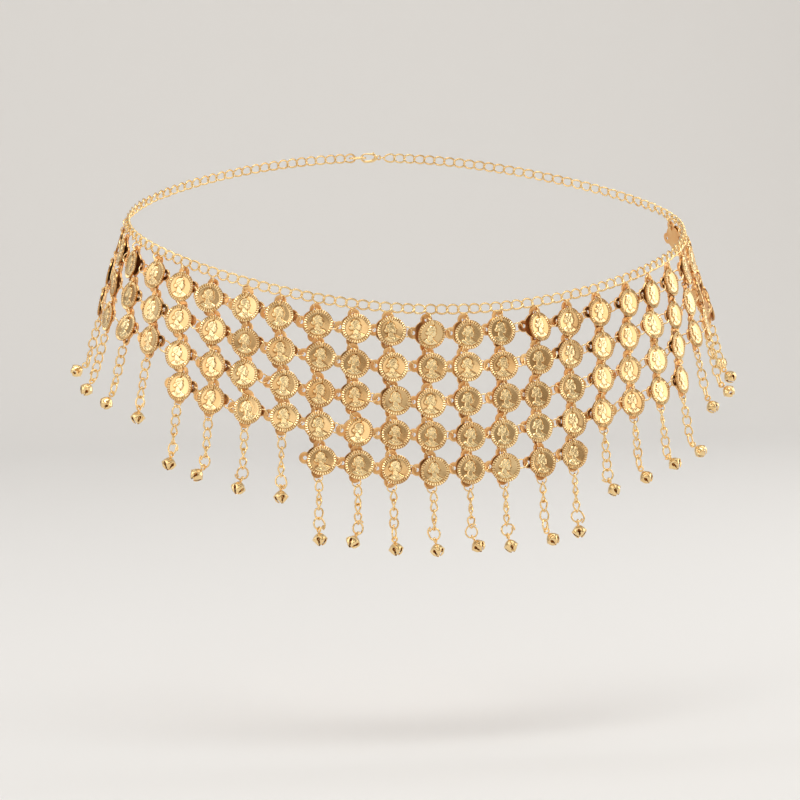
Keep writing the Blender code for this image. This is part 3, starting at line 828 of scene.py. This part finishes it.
RING_WIRE = 0.00088
RING_CORNERS = 14
NET_SEED = 7
SIDE_RING, SIDE_TILT = 0.0067, (25.0, 50.0)  # size, and least and most tilt in degrees
HANGING_RING, HANGING_TILT = 0.0050, (35.0, 70.0)
FOOT_RING, FOOT_TILT = 0.0064, (12.0, 26.0)
COIN_RING_TILT = 75.0
CELL_REACH = 0.0080
FOOT_RING_DROP = 0.0050
EAR_WIRE_DEPTH = 0.0005  # out from the plate's back to the wire in its ears
CHAIN_LOWER_WIRE = 0.0028  # from the chain's middle down to the wire that the top ring holds
COIN_SHIFT, COIN_SHIFT_PLAY = 0.0008, 0.0007
COIN_DROP, COIN_DROP_PLAY = 0.0004, 0.0004
COIN_STAND_OFF = 0.0010
COIN_TILT_REACH = 0.7  # a tilted coin stands off farther, by its sine over this share of the radius
COIN_TURN_SHARE = 0.4
COIN_YAW, COIN_NOD = (1.5, 4.5, 11.0), (1.0, 3.0, 6.0)  # degrees: mean, spread, and spread of strays
COIN_ROLL = 5.0
STRAY_SHARE = 0.22  # of the coins, which hang more unevenly than the others

COIN_KIND, PLATE_KIND, SIDE_KIND, HANGING_KIND, FOOT_KIND = range(5)


def ring_between(one, other, outward, tilt, size):
    """Ring whose wire passes through two points, tilted about the line between them."""
    along = other - one
    lie = facing_frame((one + other) / 2.0, along.normalized(), -outward)
    reach = (along.length + RING_WIRE) / size
    return lie @ turned(tilt, "X"), (reach, 1.0, 0.5 + 0.5 * reach)


def either_way(tilts):
    return hang_of_net.choice((-1, 1)) * hang_of_net.uniform(*tilts)


def ear_point(column, row, ear):
    """Where the wire passes in an ear; ear 0 points right, 1 up, 2 left and 3 down."""
    angle = ear * pi / 2.0
    return plate_matrix(column, row) @ Vector((EAR_PULL * cos(angle), -EAR_WIRE_DEPTH, EAR_PULL * sin(angle)))


def foot_wire(column):
    """Middle of the foot ring's lowest wire, straight below the last cell; the dangle swings on it."""
    lie = column_frame(column).to_3x3()
    down = lie.inverted() @ Vector((0.0, 0.0, -1.0))
    down = lie @ Vector((down.x, 0.0, down.z)).normalized()
    last = cell_matrix(column, rows_in(column) - 1) @ Vector((0.0, -EAR_WIRE_DEPTH, -CELL_REACH))
    return last + down * FOOT_RING_DROP


def coin_matrix(column, row):
    """A coin's lie in front of its plate: a little up and to the right, each with its own tilt."""
    spread = 2 if hang_of_net.random() < STRAY_SHARE else 1
    yaw = radians(hang_of_net.normal(COIN_YAW[0], COIN_YAW[spread]))
    nod = radians(hang_of_net.normal(COIN_NOD[0], COIN_NOD[spread]))
    roll = radians(hang_of_net.normal(0.0, COIN_ROLL))
    side = COIN_SHIFT * frontness(column) + hang_of_net.uniform(-COIN_SHIFT_PLAY, COIN_SHIFT_PLAY)
    rise = -COIN_DROP + hang_of_net.uniform(-COIN_DROP_PLAY, COIN_DROP_PLAY)
    out = COIN_STAND_OFF + COIN_RADIUS * MM * COIN_TILT_REACH * max(abs(sin(yaw)), abs(sin(nod)))
    lie = column_frame(column) @ Matrix.Translation(plate_middle(column, row) + Vector((side, -out, rise)))
    turn = Matrix.Rotation(-COIN_TURN_SHARE * row_slope(column) + roll, 4, "Y")
    return lie @ turn @ Matrix.Rotation(yaw, 4, "Z") @ Matrix.Rotation(nod, 4, "X")


RING_METAL = gilt_metal(
    "Gilt ring wire", pale=(0.98, 0.75, 0.41), deep=(0.80, 0.48, 0.20),
    tone_spread=0.35, smear_scale=90.0, grain_scale=1500.0, grain_height=0.08, polish=0.14, haze=0.10,
)
NET_TREE = piece_tree(
    "Net column",
    (COIN_KIND, "Coin", "Coin metal"),
    (PLATE_KIND, "Plate", "Plate metal"),
    (SIDE_KIND, (RING_CORNERS, "Side ring", "Side ring", "Ring wire"), "Ring metal"),
    (HANGING_KIND, (RING_CORNERS, "Hanging ring", "Hanging ring", "Ring wire"), "Ring metal"),
    (FOOT_KIND, (RING_CORNERS, "Foot ring", "Foot ring", "Ring wire"), "Ring metal"),
)
hang_of_net = np.random.default_rng(24)
for column in range(COLUMNS):
    outward = -column_frame(column).to_3x3().col[1]
    places = []
    for row in range(rows_in(column)):
        coin_lie = coin_matrix(column, row)
        places.append((COIN_KIND, coin_lie, FULL_SIZE))
        places.append((PLATE_KIND, plate_matrix(column, row), FULL_SIZE))
        if column + 1 < COLUMNS and row < rows_in(column + 1):
            ears = ear_point(column, row, 0), ear_point(column + 1, row, 2)
            places.append((SIDE_KIND, *ring_between(*ears, outward, either_way(SIDE_TILT), SIDE_RING)))
        above = column_frame(column) @ Vector((0.0, -CHAIN_STAND_OFF, -CHAIN_LOWER_WIRE))
        if row:
            above = ear_point(column, row - 1, 3)
        top_ear = ear_point(column, row, 1)
        hanging = ring_between(above, top_ear, outward, either_way(HANGING_TILT), HANGING_RING)
        places.append((HANGING_KIND, *hanging))
        x, z = COIN_HOLE_MIDDLE
        coin_hole = coin_lie @ Vector((x * MM, -COIN_SHEET * MM, z * MM))
        carrying = ring_between(top_ear, coin_hole, outward, COIN_RING_TILT, HANGING_RING)
        places.append((HANGING_KIND, *carrying))
    foot = ear_point(column, rows_in(column) - 1, 3), foot_wire(column)
    foot_ring = ring_between(*foot, outward, hang_of_net.uniform(*FOOT_TILT), FOOT_RING)
    places.append((FOOT_KIND, *foot_ring))
    values = {
        "Coin": COIN, "Plate": PLATE, "Side ring": SIDE_RING, "Hanging ring": HANGING_RING,
        "Foot ring": FOOT_RING, "Ring wire": RING_WIRE, "Seed": NET_SEED * column, "Coin metal": COIN_METAL,
        "Plate metal": PLATE_METAL, "Ring metal": RING_METAL,
    }
    net_piece = piece_on_points(f"net_column_{column + 1:02d}", places, NET_TREE, values)
    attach(net_piece, "root")
    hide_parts(f"column_{column + 1:02d}")
for tool in (COIN, PLATE):
    bpy.data.objects.remove(tool)

# Dangles and bells
# Under each column four curb links, one larger jump ring and a jingle bell swing from the foot ring.
# The bell is a hollow shell of two pressed halves, cross-cut underneath, with a wire loop on top.

DANGLE_LINK_LENGTH = 0.0078
DANGLE_LINK_WIDTH = 0.0061
DANGLE_WIRE = 0.00115
DANGLE_CORNERS = 18
DANGLE_TWIST = 190.0
DANGLE_LINK_PITCH = 0.0055
DANGLE_LINKS = 4
DANGLE_SEED = 13
DANGLE_PLAY = 0.00012  # left between the top link and the foot ring
TOP_LINK_TURN, NEXT_LINK_TURN = (32.0, 52.0), (0.0, 55.0)  # least and most, in degrees
JUMP_RING_TURN = (25.0, 40.0)
JUMP_RING = 0.0080
RING_TAIL_START, RING_TAIL_END = 318, 391  # degrees round the ring, bent shut and not soldered
RING_TAIL_LIFT = 0.0014  # how far the ring's outer end stands off its circle
RING_STEP = 17
RING_CREASE = 75.0
BELL_RADIUS = 4.1
BELL_WALL = 0.30
BELL_DROP = 0.0342  # from the foot ring's lowest wire to the bell's middle
BELL_LOOP = 0.0042
BELL_LEAN = (18.0, 45.0)  # degrees: how far a bell's mouth points outwards
BELL_TURN, BELL_SPIN = 30.0, 18.0  # degrees: how unevenly the bells lean and turn
BELL_CREASE = 40.0
BELL_INSIDE_SHADE = 0.9  # painted shade: how much deeper the colour is painted on the bell's inner wall
SLOT_HALF_WIDTH = 0.18  # these three in radians round the bell, up from its lowest point
SLOT_REACH = 1.15
SLOT_END_RADIUS = 0.34
SLOT_END_STEPS = 8
SLOT_MARGIN = 0.07
PETAL_PINCH = 0.20
SEAM_HALF_HEIGHT = 0.055
RIM_BAND = 0.08  # share of the radius under the equator where only the rim's corners lie
BELL_CORNERS = 40
LOWER_RINGS = ((1.40, 40), (1.15, 32), (0.88, 28), (0.6, 20))  # angle, corners
UPPER_RINGS = (
    # height angle over the equator, share of the radius: the seam's lip, then the upper half
    (0.0, 1.09), (SEAM_HALF_HEIGHT, 1.02), (0.30, 0.96), (0.58, 0.92), (0.86, 0.91), (1.12, 0.94),
    (1.38, 0.97),
)
PELLET_RADIUS, PELLET_PLACE = 1.15, Vector((0.35, 0.2, -2.4))

LINK_KIND, RING_KIND, LOOP_KIND, BELL_KIND = range(4)


def cross_slot():
    """Outline of the cross that is cut in a bell, with a round hole at the end of each arm."""
    arm = []
    start = pi - asin(SLOT_HALF_WIDTH / SLOT_END_RADIUS)
    for i in range(SLOT_END_STEPS + 1):
        angle = start * (2.0 * i / SLOT_END_STEPS - 1.0)
        arm.append((SLOT_REACH + SLOT_END_RADIUS * cos(angle), SLOT_END_RADIUS * sin(angle)))
    arm.append((SLOT_HALF_WIDTH, SLOT_HALF_WIDTH))
    return four_times(arm)


def shell_point(reach, around, up):
    return reach * cos(around), reach * sin(around), up


def skin(bm, ring, following):
    """Faces between two rings that have as many corners."""
    for i in range(len(ring)):
        j = (i + 1) % len(ring)
        bm.faces.new((ring[i], ring[j], following[j], following[i]))


def bell_mesh():
    """The lower half is laid out flat by angle from its lowest point, cut, and then bent round."""
    slot = cross_slot()
    fill = [point for angle, count in LOWER_RINGS for point in ring_of(angle, count)]
    edge = ring_of(pi / 2.0 - SEAM_HALF_HEIGHT, BELL_CORNERS)
    flat, faces, middles = flat_faces((edge, slot), clear_of(slot, fill, SLOT_MARGIN))
    bm = bmesh.new()
    shade_layer = bm.verts.layers.float.new("painted_shade")
    shell = []
    for place in flat:
        angle, around = place.length, atan2(place.y, place.x)
        at_slot = 0.5 + 0.5 * cos(4.0 * around)
        radius = BELL_RADIUS * (1.0 - PETAL_PINCH * at_slot * abs(sin(2.0 * angle)))
        shell.append(bm.verts.new(shell_point(radius * sin(angle), around, -radius * cos(angle))))
    for face in chosen(faces, ~inside(slot, middles)):
        bm.faces.new([shell[i] for i in reversed(face)])
    drop_loose(bm)
    rim = [vertex for vertex in bm.verts if vertex.co.z > -BELL_RADIUS * RIM_BAND]
    rim.sort(key=lambda vertex: atan2(vertex.co.y, vertex.co.x))
    for height, share in UPPER_RINGS:
        reach, up = BELL_RADIUS * share * cos(height), BELL_RADIUS * share * sin(height)
        angles = [atan2(vertex.co.y, vertex.co.x) for vertex in rim]
        ring = [bm.verts.new(shell_point(reach, around, up)) for around in angles]
        skin(bm, rim, ring)
        rim = ring
    bm.faces.new(rim)
    bmesh.ops.recalc_face_normals(bm, faces=bm.faces)
    inner = bmesh.ops.solidify(bm, geom=list(bm.faces), thickness=BELL_WALL)["geom"]
    # painted shade on the inner wall of the shell
    for piece in inner:
        if isinstance(piece, bmesh.types.BMVert):
            piece[shade_layer] = BELL_INSIDE_SHADE
    pellet = bmesh.ops.create_icosphere(bm, subdivisions=2, radius=PELLET_RADIUS)["verts"]
    for vertex in pellet:
        vertex.co += PELLET_PLACE
    bmesh.ops.recalc_face_normals(bm, faces=bm.faces)
    return finished_mesh("bell", bm, BELL_CREASE)


def jump_ring_mesh():
    """Ring of round wire bent shut in its XZ plane, its outer end standing a little off the circle."""
    wire = bpy.data.curves.new("jump_ring", "CURVE")
    wire.dimensions = "3D"
    wire.bevel_depth = DANGLE_WIRE / 2.0
    wire.bevel_resolution = 1
    wire.use_fill_caps = True
    steps = range(0, RING_TAIL_END + 1, RING_STEP)
    spline = wire.splines.new("POLY")
    spline.points.add(len(steps) - 1)
    for point, degrees in zip(spline.points, steps):
        share = max(0.0, degrees - RING_TAIL_START) / (RING_TAIL_END - RING_TAIL_START)
        reach = (JUMP_RING - DANGLE_WIRE) / 2.0 + RING_TAIL_LIFT * share * (2.0 - share)
        around = radians(degrees)
        point.co = (reach * cos(around), 0.0, reach * sin(around), 1.0)
    bent = new_object("jump_ring", wire)
    depsgraph = bpy.context.evaluated_depsgraph_get()
    mesh = bpy.data.meshes.new_from_object(bent.evaluated_get(depsgraph))
    bpy.data.objects.remove(bent)
    bpy.data.curves.remove(wire)
    mesh.shade_smooth()
    mesh.set_sharp_from_angle(angle=radians(RING_CREASE))
    return mesh


def hinge_frame(column):
    """Frame on the lowest wire of a column's foot ring: X level along it, Z up the hips."""
    outward = -column_frame(column).to_3x3().col[1]
    level = Vector((0.0, 0.0, 1.0)).cross(outward).normalized()
    return facing_frame(foot_wire(column), level, -outward)


def hung(lie, drop, yaw, nod=0.0):
    """Place at a drop below the hinge, turned about the upright line and tipped."""
    return lie @ moved(0.0, 0.0, -drop) @ turned(yaw, "Z") @ turned(nod, "X")


BELL_METAL = gilt_metal(
    "Gilt bell", pale=(0.98, 0.74, 0.38), deep=(0.66, 0.35, 0.12),
    tone_spread=0.25, smear_scale=60.0, grain_scale=500.0, grain_height=0.10, polish=0.10, haze=0.10,
)
BELL = new_object("bell", bell_mesh())
RING = new_object("jump_ring", jump_ring_mesh())
DANGLE_TREE = piece_tree(
    "Dangle",
    (LINK_KIND, (DANGLE_CORNERS, "Link width", "Link length", "Wire", "Twist"), "Link metal"),
    (LOOP_KIND, (DANGLE_CORNERS, "Bell loop", "Bell loop", "Wire"), "Link metal"),
    (RING_KIND, "Jump ring", "Link metal"),
    (BELL_KIND, "Bell", "Bell metal"),
)
# each piece's wire rests on the wire of the one above it
half_link, half_ring, half_loop = [
    (size - DANGLE_WIRE) / 2.0 for size in (DANGLE_LINK_LENGTH, JUMP_RING, BELL_LOOP)
]
link_drop = half_link - DANGLE_WIRE - DANGLE_PLAY
ring_drop = link_drop + (DANGLE_LINKS - 1) * DANGLE_LINK_PITCH + half_link - DANGLE_WIRE + half_ring
loop_drop = ring_drop + half_ring - DANGLE_WIRE + half_loop
loop_top = loop_drop - half_loop
hang_of_dangles = np.random.default_rng(35)
for column in range(COLUMNS):
    lie = hinge_frame(column)
    places = []
    # at these turns no wire runs along the one that it hangs on, so none cuts into its neighbour
    turn = hang_of_dangles.uniform(*TOP_LINK_TURN)
    for link in range(DANGLE_LINKS):
        places.append((LINK_KIND, hung(lie, link_drop + link * DANGLE_LINK_PITCH, turn), FULL_SIZE))
        turn += hang_of_dangles.uniform(*NEXT_LINK_TURN)
    turn += hang_of_dangles.uniform(*JUMP_RING_TURN)
    ring_turn = Matrix.Rotation(hang_of_dangles.uniform(0.0, 2.0 * pi), 4, "Y")
    places.append((RING_KIND, hung(lie, ring_drop, turn) @ ring_turn, FULL_SIZE))
    # the hips behind it push each bell's mouth outwards
    bell_turn = hang_of_dangles.normal(0.0, BELL_TURN)
    swung = hung(lie, loop_top, bell_turn, -hang_of_dangles.uniform(*BELL_LEAN))
    loop_lie = hung(swung, loop_drop - loop_top, turn + 90.0 - bell_turn)
    bell_lie = hung(swung, BELL_DROP - loop_top, hang_of_dangles.normal(0.0, BELL_SPIN))
    places += [(LOOP_KIND, loop_lie, FULL_SIZE), (BELL_KIND, bell_lie, FULL_SIZE)]
    values = {
        "Link length": DANGLE_LINK_LENGTH, "Link width": DANGLE_LINK_WIDTH, "Wire": DANGLE_WIRE,
        "Twist": DANGLE_TWIST, "Bell loop": BELL_LOOP, "Jump ring": RING, "Bell": BELL,
        "Seed": DANGLE_SEED * column, "Link metal": CHAIN_METAL, "Bell metal": BELL_METAL,
    }
    dangle_piece = piece_on_points(f"dangle_{column + 1:02d}_bell", places, DANGLE_TREE, values)
    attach(dangle_piece, f"dangle_{column + 1:02d}")
    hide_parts(f"dangle_{column + 1:02d}")
for tool in (BELL, RING):
    bpy.data.objects.remove(tool)

# Clasp and end ring
# A cast lobster clasp closes the chain behind: a claw with a sprung lever, riveted at its knuckle,
# and a tail eye that a jump ring ties to the last link. Its claw holds an oval ring of thick wire.

CLASP_TAIL = 0.0126
CLASP_PLAY = 0.00015
CLASP_CREASE = 50.0
CLASP_SEED = 5
END_RING_HALF_DEPTH = 0.0026
END_RING_WIRE = 0.0012
CLOSING_RING_CORNERS = 24
CLAW = (
    # along the chain from the middle of the eye, up, radius, all in millimetres
    (-7.3, 0.7, 1.15), (-6.6, -0.7, 1.30), (-5.2, -1.75, 1.15), (-3.2, -2.3, 0.95),
    (-1.0, -2.55, 0.85), (0.9, -2.35, 0.80), (2.2, -1.45, 0.78), (2.75, 0.0, 0.75),
    (2.35, 1.4, 0.68), (1.3, 2.25, 0.56), (0.5, 2.5, 0.40),
)
LEVER = (
    (-6.7, 1.35, 0.75), (-5.8, 2.0, 0.85), (-4.4, 2.4, 0.70), (-2.6, 2.55, 0.60),
    (-0.9, 2.6, 0.52), (0.2, 2.55, 0.42),
)
THUMB_KNOB = ((-5.5, 2.3, 0.62), (-5.3, 2.9, 0.72), (-5.1, 3.35, 0.55))
BAR_SIDES = 12
BAR_END = 0.6  # a bar ends this share of its radius farther on, as much narrower
RIVET_MIDDLE, RIVET_RADIUS, RIVET_LENGTH, RIVET_SIDES = (-6.6, 0.55), 0.55, 2.9, 16
TAIL_EYE, TAIL_WIRE, TAIL_WIRE_SHARE = 0.0034, 0.0008, 0.9
TAIL_RINGS = (
    # middle along the chain in millimetres, outer size, turn about the chain
    (-9.0, TAIL_EYE, 0.0),
    (-11.0, 0.0040, 90.0),
)

CLAW_KIND, CLOSING_KIND = range(2)


def bar(bm, path):
    """Round bar through points (x, z, radius), with rounded ends."""
    middles = [Vector((x, 0.0, z)) for x, z, _ in path]
    neighbours = zip(middles[:1] + middles[:-1], middles[1:] + middles[-1:])
    runs = [(after - before).normalized() for before, after in neighbours]
    first, last = path[0][2], path[-1][2]
    sections = [(middles[0] - runs[0] * first * BAR_END, runs[0], first * BAR_END)]
    sections += [(middle, run, radius) for middle, run, (_, _, radius) in zip(middles, runs, path)]
    sections.append((middles[-1] + runs[-1] * last * BAR_END, runs[-1], last * BAR_END))
    side = Vector((0.0, 1.0, 0.0))
    rings = []
    for middle, run, radius in sections:
        across = run.cross(side)
        offsets = [across * c + side * s for c, s in ring_of(1.0, BAR_SIDES)]
        rings.append([bm.verts.new(middle + offset * radius) for offset in offsets])
    for ring, following in zip(rings, rings[1:]):
        skin(bm, ring, following)
    bm.faces.new(rings[0])
    bm.faces.new(rings[-1])


def clasp_mesh():
    bm = bmesh.new()
    for path in (CLAW, LEVER, THUMB_KNOB):
        bar(bm, path)
    x, z = RIVET_MIDDLE
    bmesh.ops.create_cone(
        bm, cap_ends=True, segments=RIVET_SIDES, radius1=RIVET_RADIUS, radius2=RIVET_RADIUS,
        depth=RIVET_LENGTH, matrix=moved(x, 0.0, z) @ turned(90.0, "X"),
    )
    bmesh.ops.recalc_face_normals(bm, faces=bm.faces)
    return finished_mesh("clasp_claw", bm, CLASP_CREASE)


CLASP_METAL = gilt_metal(
    "Gilt clasp", pale=(0.98, 0.74, 0.39), deep=(0.80, 0.48, 0.20),
    tone_spread=0.15, smear_scale=150.0, grain_scale=900.0, grain_height=0.08, polish=0.16, haze=0.12,
)
CLAW_SHAPE = new_object("clasp_claw", clasp_mesh())
CLASP_TREE = piece_tree(
    "Clasp",
    (CLAW_KIND, "Claw", "Metal"),
    (CLOSING_KIND, (CLOSING_RING_CORNERS, "Ring length", "Ring depth", "Ring wire"), "Metal"),
)
eye_length = LAST_LINK * LINK_PITCH + CLASP_PLAY + CLASP_TAIL
whole_chain = CHAIN_LENGTH[-1] - CHAIN_LENGTH[0]
ring_half_length = (whole_chain + (FIRST_LINK + 0.5) * LINK_PITCH - eye_length) / 2.0
stand_off = moved(0.0, -CHAIN_STAND_OFF, 0.0)
clasp_lie = chain_frame(eye_length) @ stand_off
clasp_places = [(CLAW_KIND, clasp_lie, FULL_SIZE)]
for along, size, turn in TAIL_RINGS:
    lie = clasp_lie @ moved(along * MM, 0.0, 0.0) @ turned(turn, "X")
    clasp_places.append((CLOSING_KIND, lie, (size / TAIL_EYE, TAIL_WIRE_SHARE, size / TAIL_EYE)))
end_ring_lie = chain_frame(eye_length + ring_half_length) @ stand_off @ turned(90.0, "X")
for name, node, places, length, depth, wire in (
    ("lobster_clasp", "clasp", clasp_places, TAIL_EYE, TAIL_EYE, TAIL_WIRE),
    (
        "oval_end_ring", "end_ring", [(CLOSING_KIND, end_ring_lie, FULL_SIZE)],
        2.0 * ring_half_length + END_RING_WIRE, 2.0 * END_RING_HALF_DEPTH + END_RING_WIRE, END_RING_WIRE,
    ),
):
    values = {
        "Claw": CLAW_SHAPE, "Ring length": length, "Ring depth": depth, "Ring wire": wire,
        "Seed": CLASP_SEED, "Metal": CLASP_METAL,
    }
    closing_piece = piece_on_points(name, places, CLASP_TREE, values)
    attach(closing_piece, "root")
    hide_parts(node)
bpy.data.objects.remove(CLAW_SHAPE)

# Picture
# The belt is photographed as if worn, from a little to the viewer's left and level with the net,
# before a pale backdrop that curves up behind it. Broad soft lights stand overhead, in front and at
# both sides, and one more shines on the backdrop.

FLOOR_HEIGHT, FLOOR_START = -0.30, -3.0
BACKDROP_DEPTH = 1.6
BACKDROP_BEND, BEND_STEPS = 0.6, 16
BACKDROP_TOP = 3.5
BACKDROP_HALF_WIDTH = 4.0
PAPER_GREY, PAPER_ROUGHNESS = (0.80, 0.80, 0.80, 1.0), 0.9
BACKDROP_AIM = Vector((0.0, 1.6, 0.2))
CAMERA_DISTANCE = 1.8
CAMERA_AZIMUTH = radians(-11.7)
CAMERA_ELEVATION = radians(1.5)
CAMERA_AIM = Vector((-0.0043, 0.0009, -0.107))
CAMERA_LENS, CAMERA_SENSOR = 129.6, 36.0
ROOM_FRONT, ROOM_BACK = -0.85, 0.35  # the air's tint changes between these depths
ROOM_TINTS = (0.36, 0.31, 0.25, 1.0), (0.70, 0.70, 0.70, 1.0)


def backdrop_mesh():
    """Floor in front that bends up into a wall behind."""
    profile = [(FLOOR_START, FLOOR_HEIGHT)]
    for i in range(BEND_STEPS + 1):
        angle = pi / 2.0 * i / BEND_STEPS
        depth = BACKDROP_DEPTH + BACKDROP_BEND * sin(angle)
        profile.append((depth, FLOOR_HEIGHT + BACKDROP_BEND * (1.0 - cos(angle))))
    profile.append((BACKDROP_DEPTH + BACKDROP_BEND, BACKDROP_TOP))
    vertices = [(side * BACKDROP_HALF_WIDTH, y, z) for y, z in profile for side in (-1, 1)]
    faces = [(2 * i, 2 * i + 1, 2 * i + 3, 2 * i + 2) for i in range(len(profile) - 1)]
    mesh = bpy.data.meshes.new("backdrop")
    mesh.from_pydata(vertices, [], faces)
    mesh.shade_smooth()
    return mesh


paper = bpy.data.materials.new("Backdrop paper")
paper.use_nodes = True
paper_shader = paper.node_tree.nodes["Principled BSDF"]
paper_shader.inputs["Base Color"].default_value = PAPER_GREY
paper_shader.inputs["Roughness"].default_value = PAPER_ROUGHNESS
backdrop = new_object("backdrop", backdrop_mesh())
backdrop.data.materials.append(paper)

for name, place, aim, size, power, tint in (
    # name, place, what it shines at, its width and height, power, colour
    ("Overhead light", (0.1, -0.5, 1.7), CAMERA_AIM, (1.6, 0.6), 12.0, (1.0, 0.985, 0.95)),
    ("High front light", (-0.3, -1.9, 0.48), CAMERA_AIM, (1.9, 0.7), 3.8, (1.0, 0.96, 0.90)),
    ("Right light", (1.6, 0.0, 0.32), CAMERA_AIM, (2.5, 1.0), 10.5, (1.0, 0.99, 0.96)),
    ("Left light", (-1.6, -0.45, 0.32), CAMERA_AIM, (1.9, 1.0), 7.0, (1.0, 0.99, 0.97)),
    ("Backdrop light", (0.0, 0.6, 1.6), BACKDROP_AIM, (3.0, 0.8), 9.0, (1.0, 1.0, 1.0)),
):
    light = bpy.data.lights.new(name, "AREA")
    light.shape = "RECTANGLE"
    light.size, light.size_y = size
    light.energy = power
    light.color = tint
    lamp = new_object(name, light)
    lamp.location = place
    lamp.rotation_euler = (aim - Vector(place)).to_track_quat("-Z", "Y").to_euler()

world = bpy.data.worlds.new("Studio")
world.use_nodes = True
air = world.node_tree
ray = add(air, "ShaderNodeTexCoord").outputs["Generated"]
ray_depth = add(air, "ShaderNodeSeparateXYZ", {0: ray}).outputs["Y"]
fade = {"Value": ray_depth, "From Min": ROOM_FRONT, "From Max": ROOM_BACK}
tints = add(air, "ShaderNodeValToRGB", {"Fac": add(air, "ShaderNodeMapRange", fade).outputs["Result"]})
for element, tint in zip(tints.color_ramp.elements, ROOM_TINTS):
    element.color = tint
air.links.new(tints.outputs["Color"], air.nodes["Background"].inputs["Color"])
bpy.context.scene.world = world

back = Vector((
    sin(CAMERA_AZIMUTH) * cos(CAMERA_ELEVATION),
    -cos(CAMERA_AZIMUTH) * cos(CAMERA_ELEVATION),
    sin(CAMERA_ELEVATION),
))
lens = bpy.data.cameras.new("Camera")
lens.sensor_width = CAMERA_SENSOR
lens.lens = CAMERA_LENS
camera = new_object("Camera", lens)
camera.location = back * CAMERA_DISTANCE
camera.rotation_euler = (camera.location - CAMERA_AIM).to_track_quat("Z", "Y").to_euler()
bpy.context.scene.camera = camera
bpy.context.scene.view_settings.view_transform = "Standard"
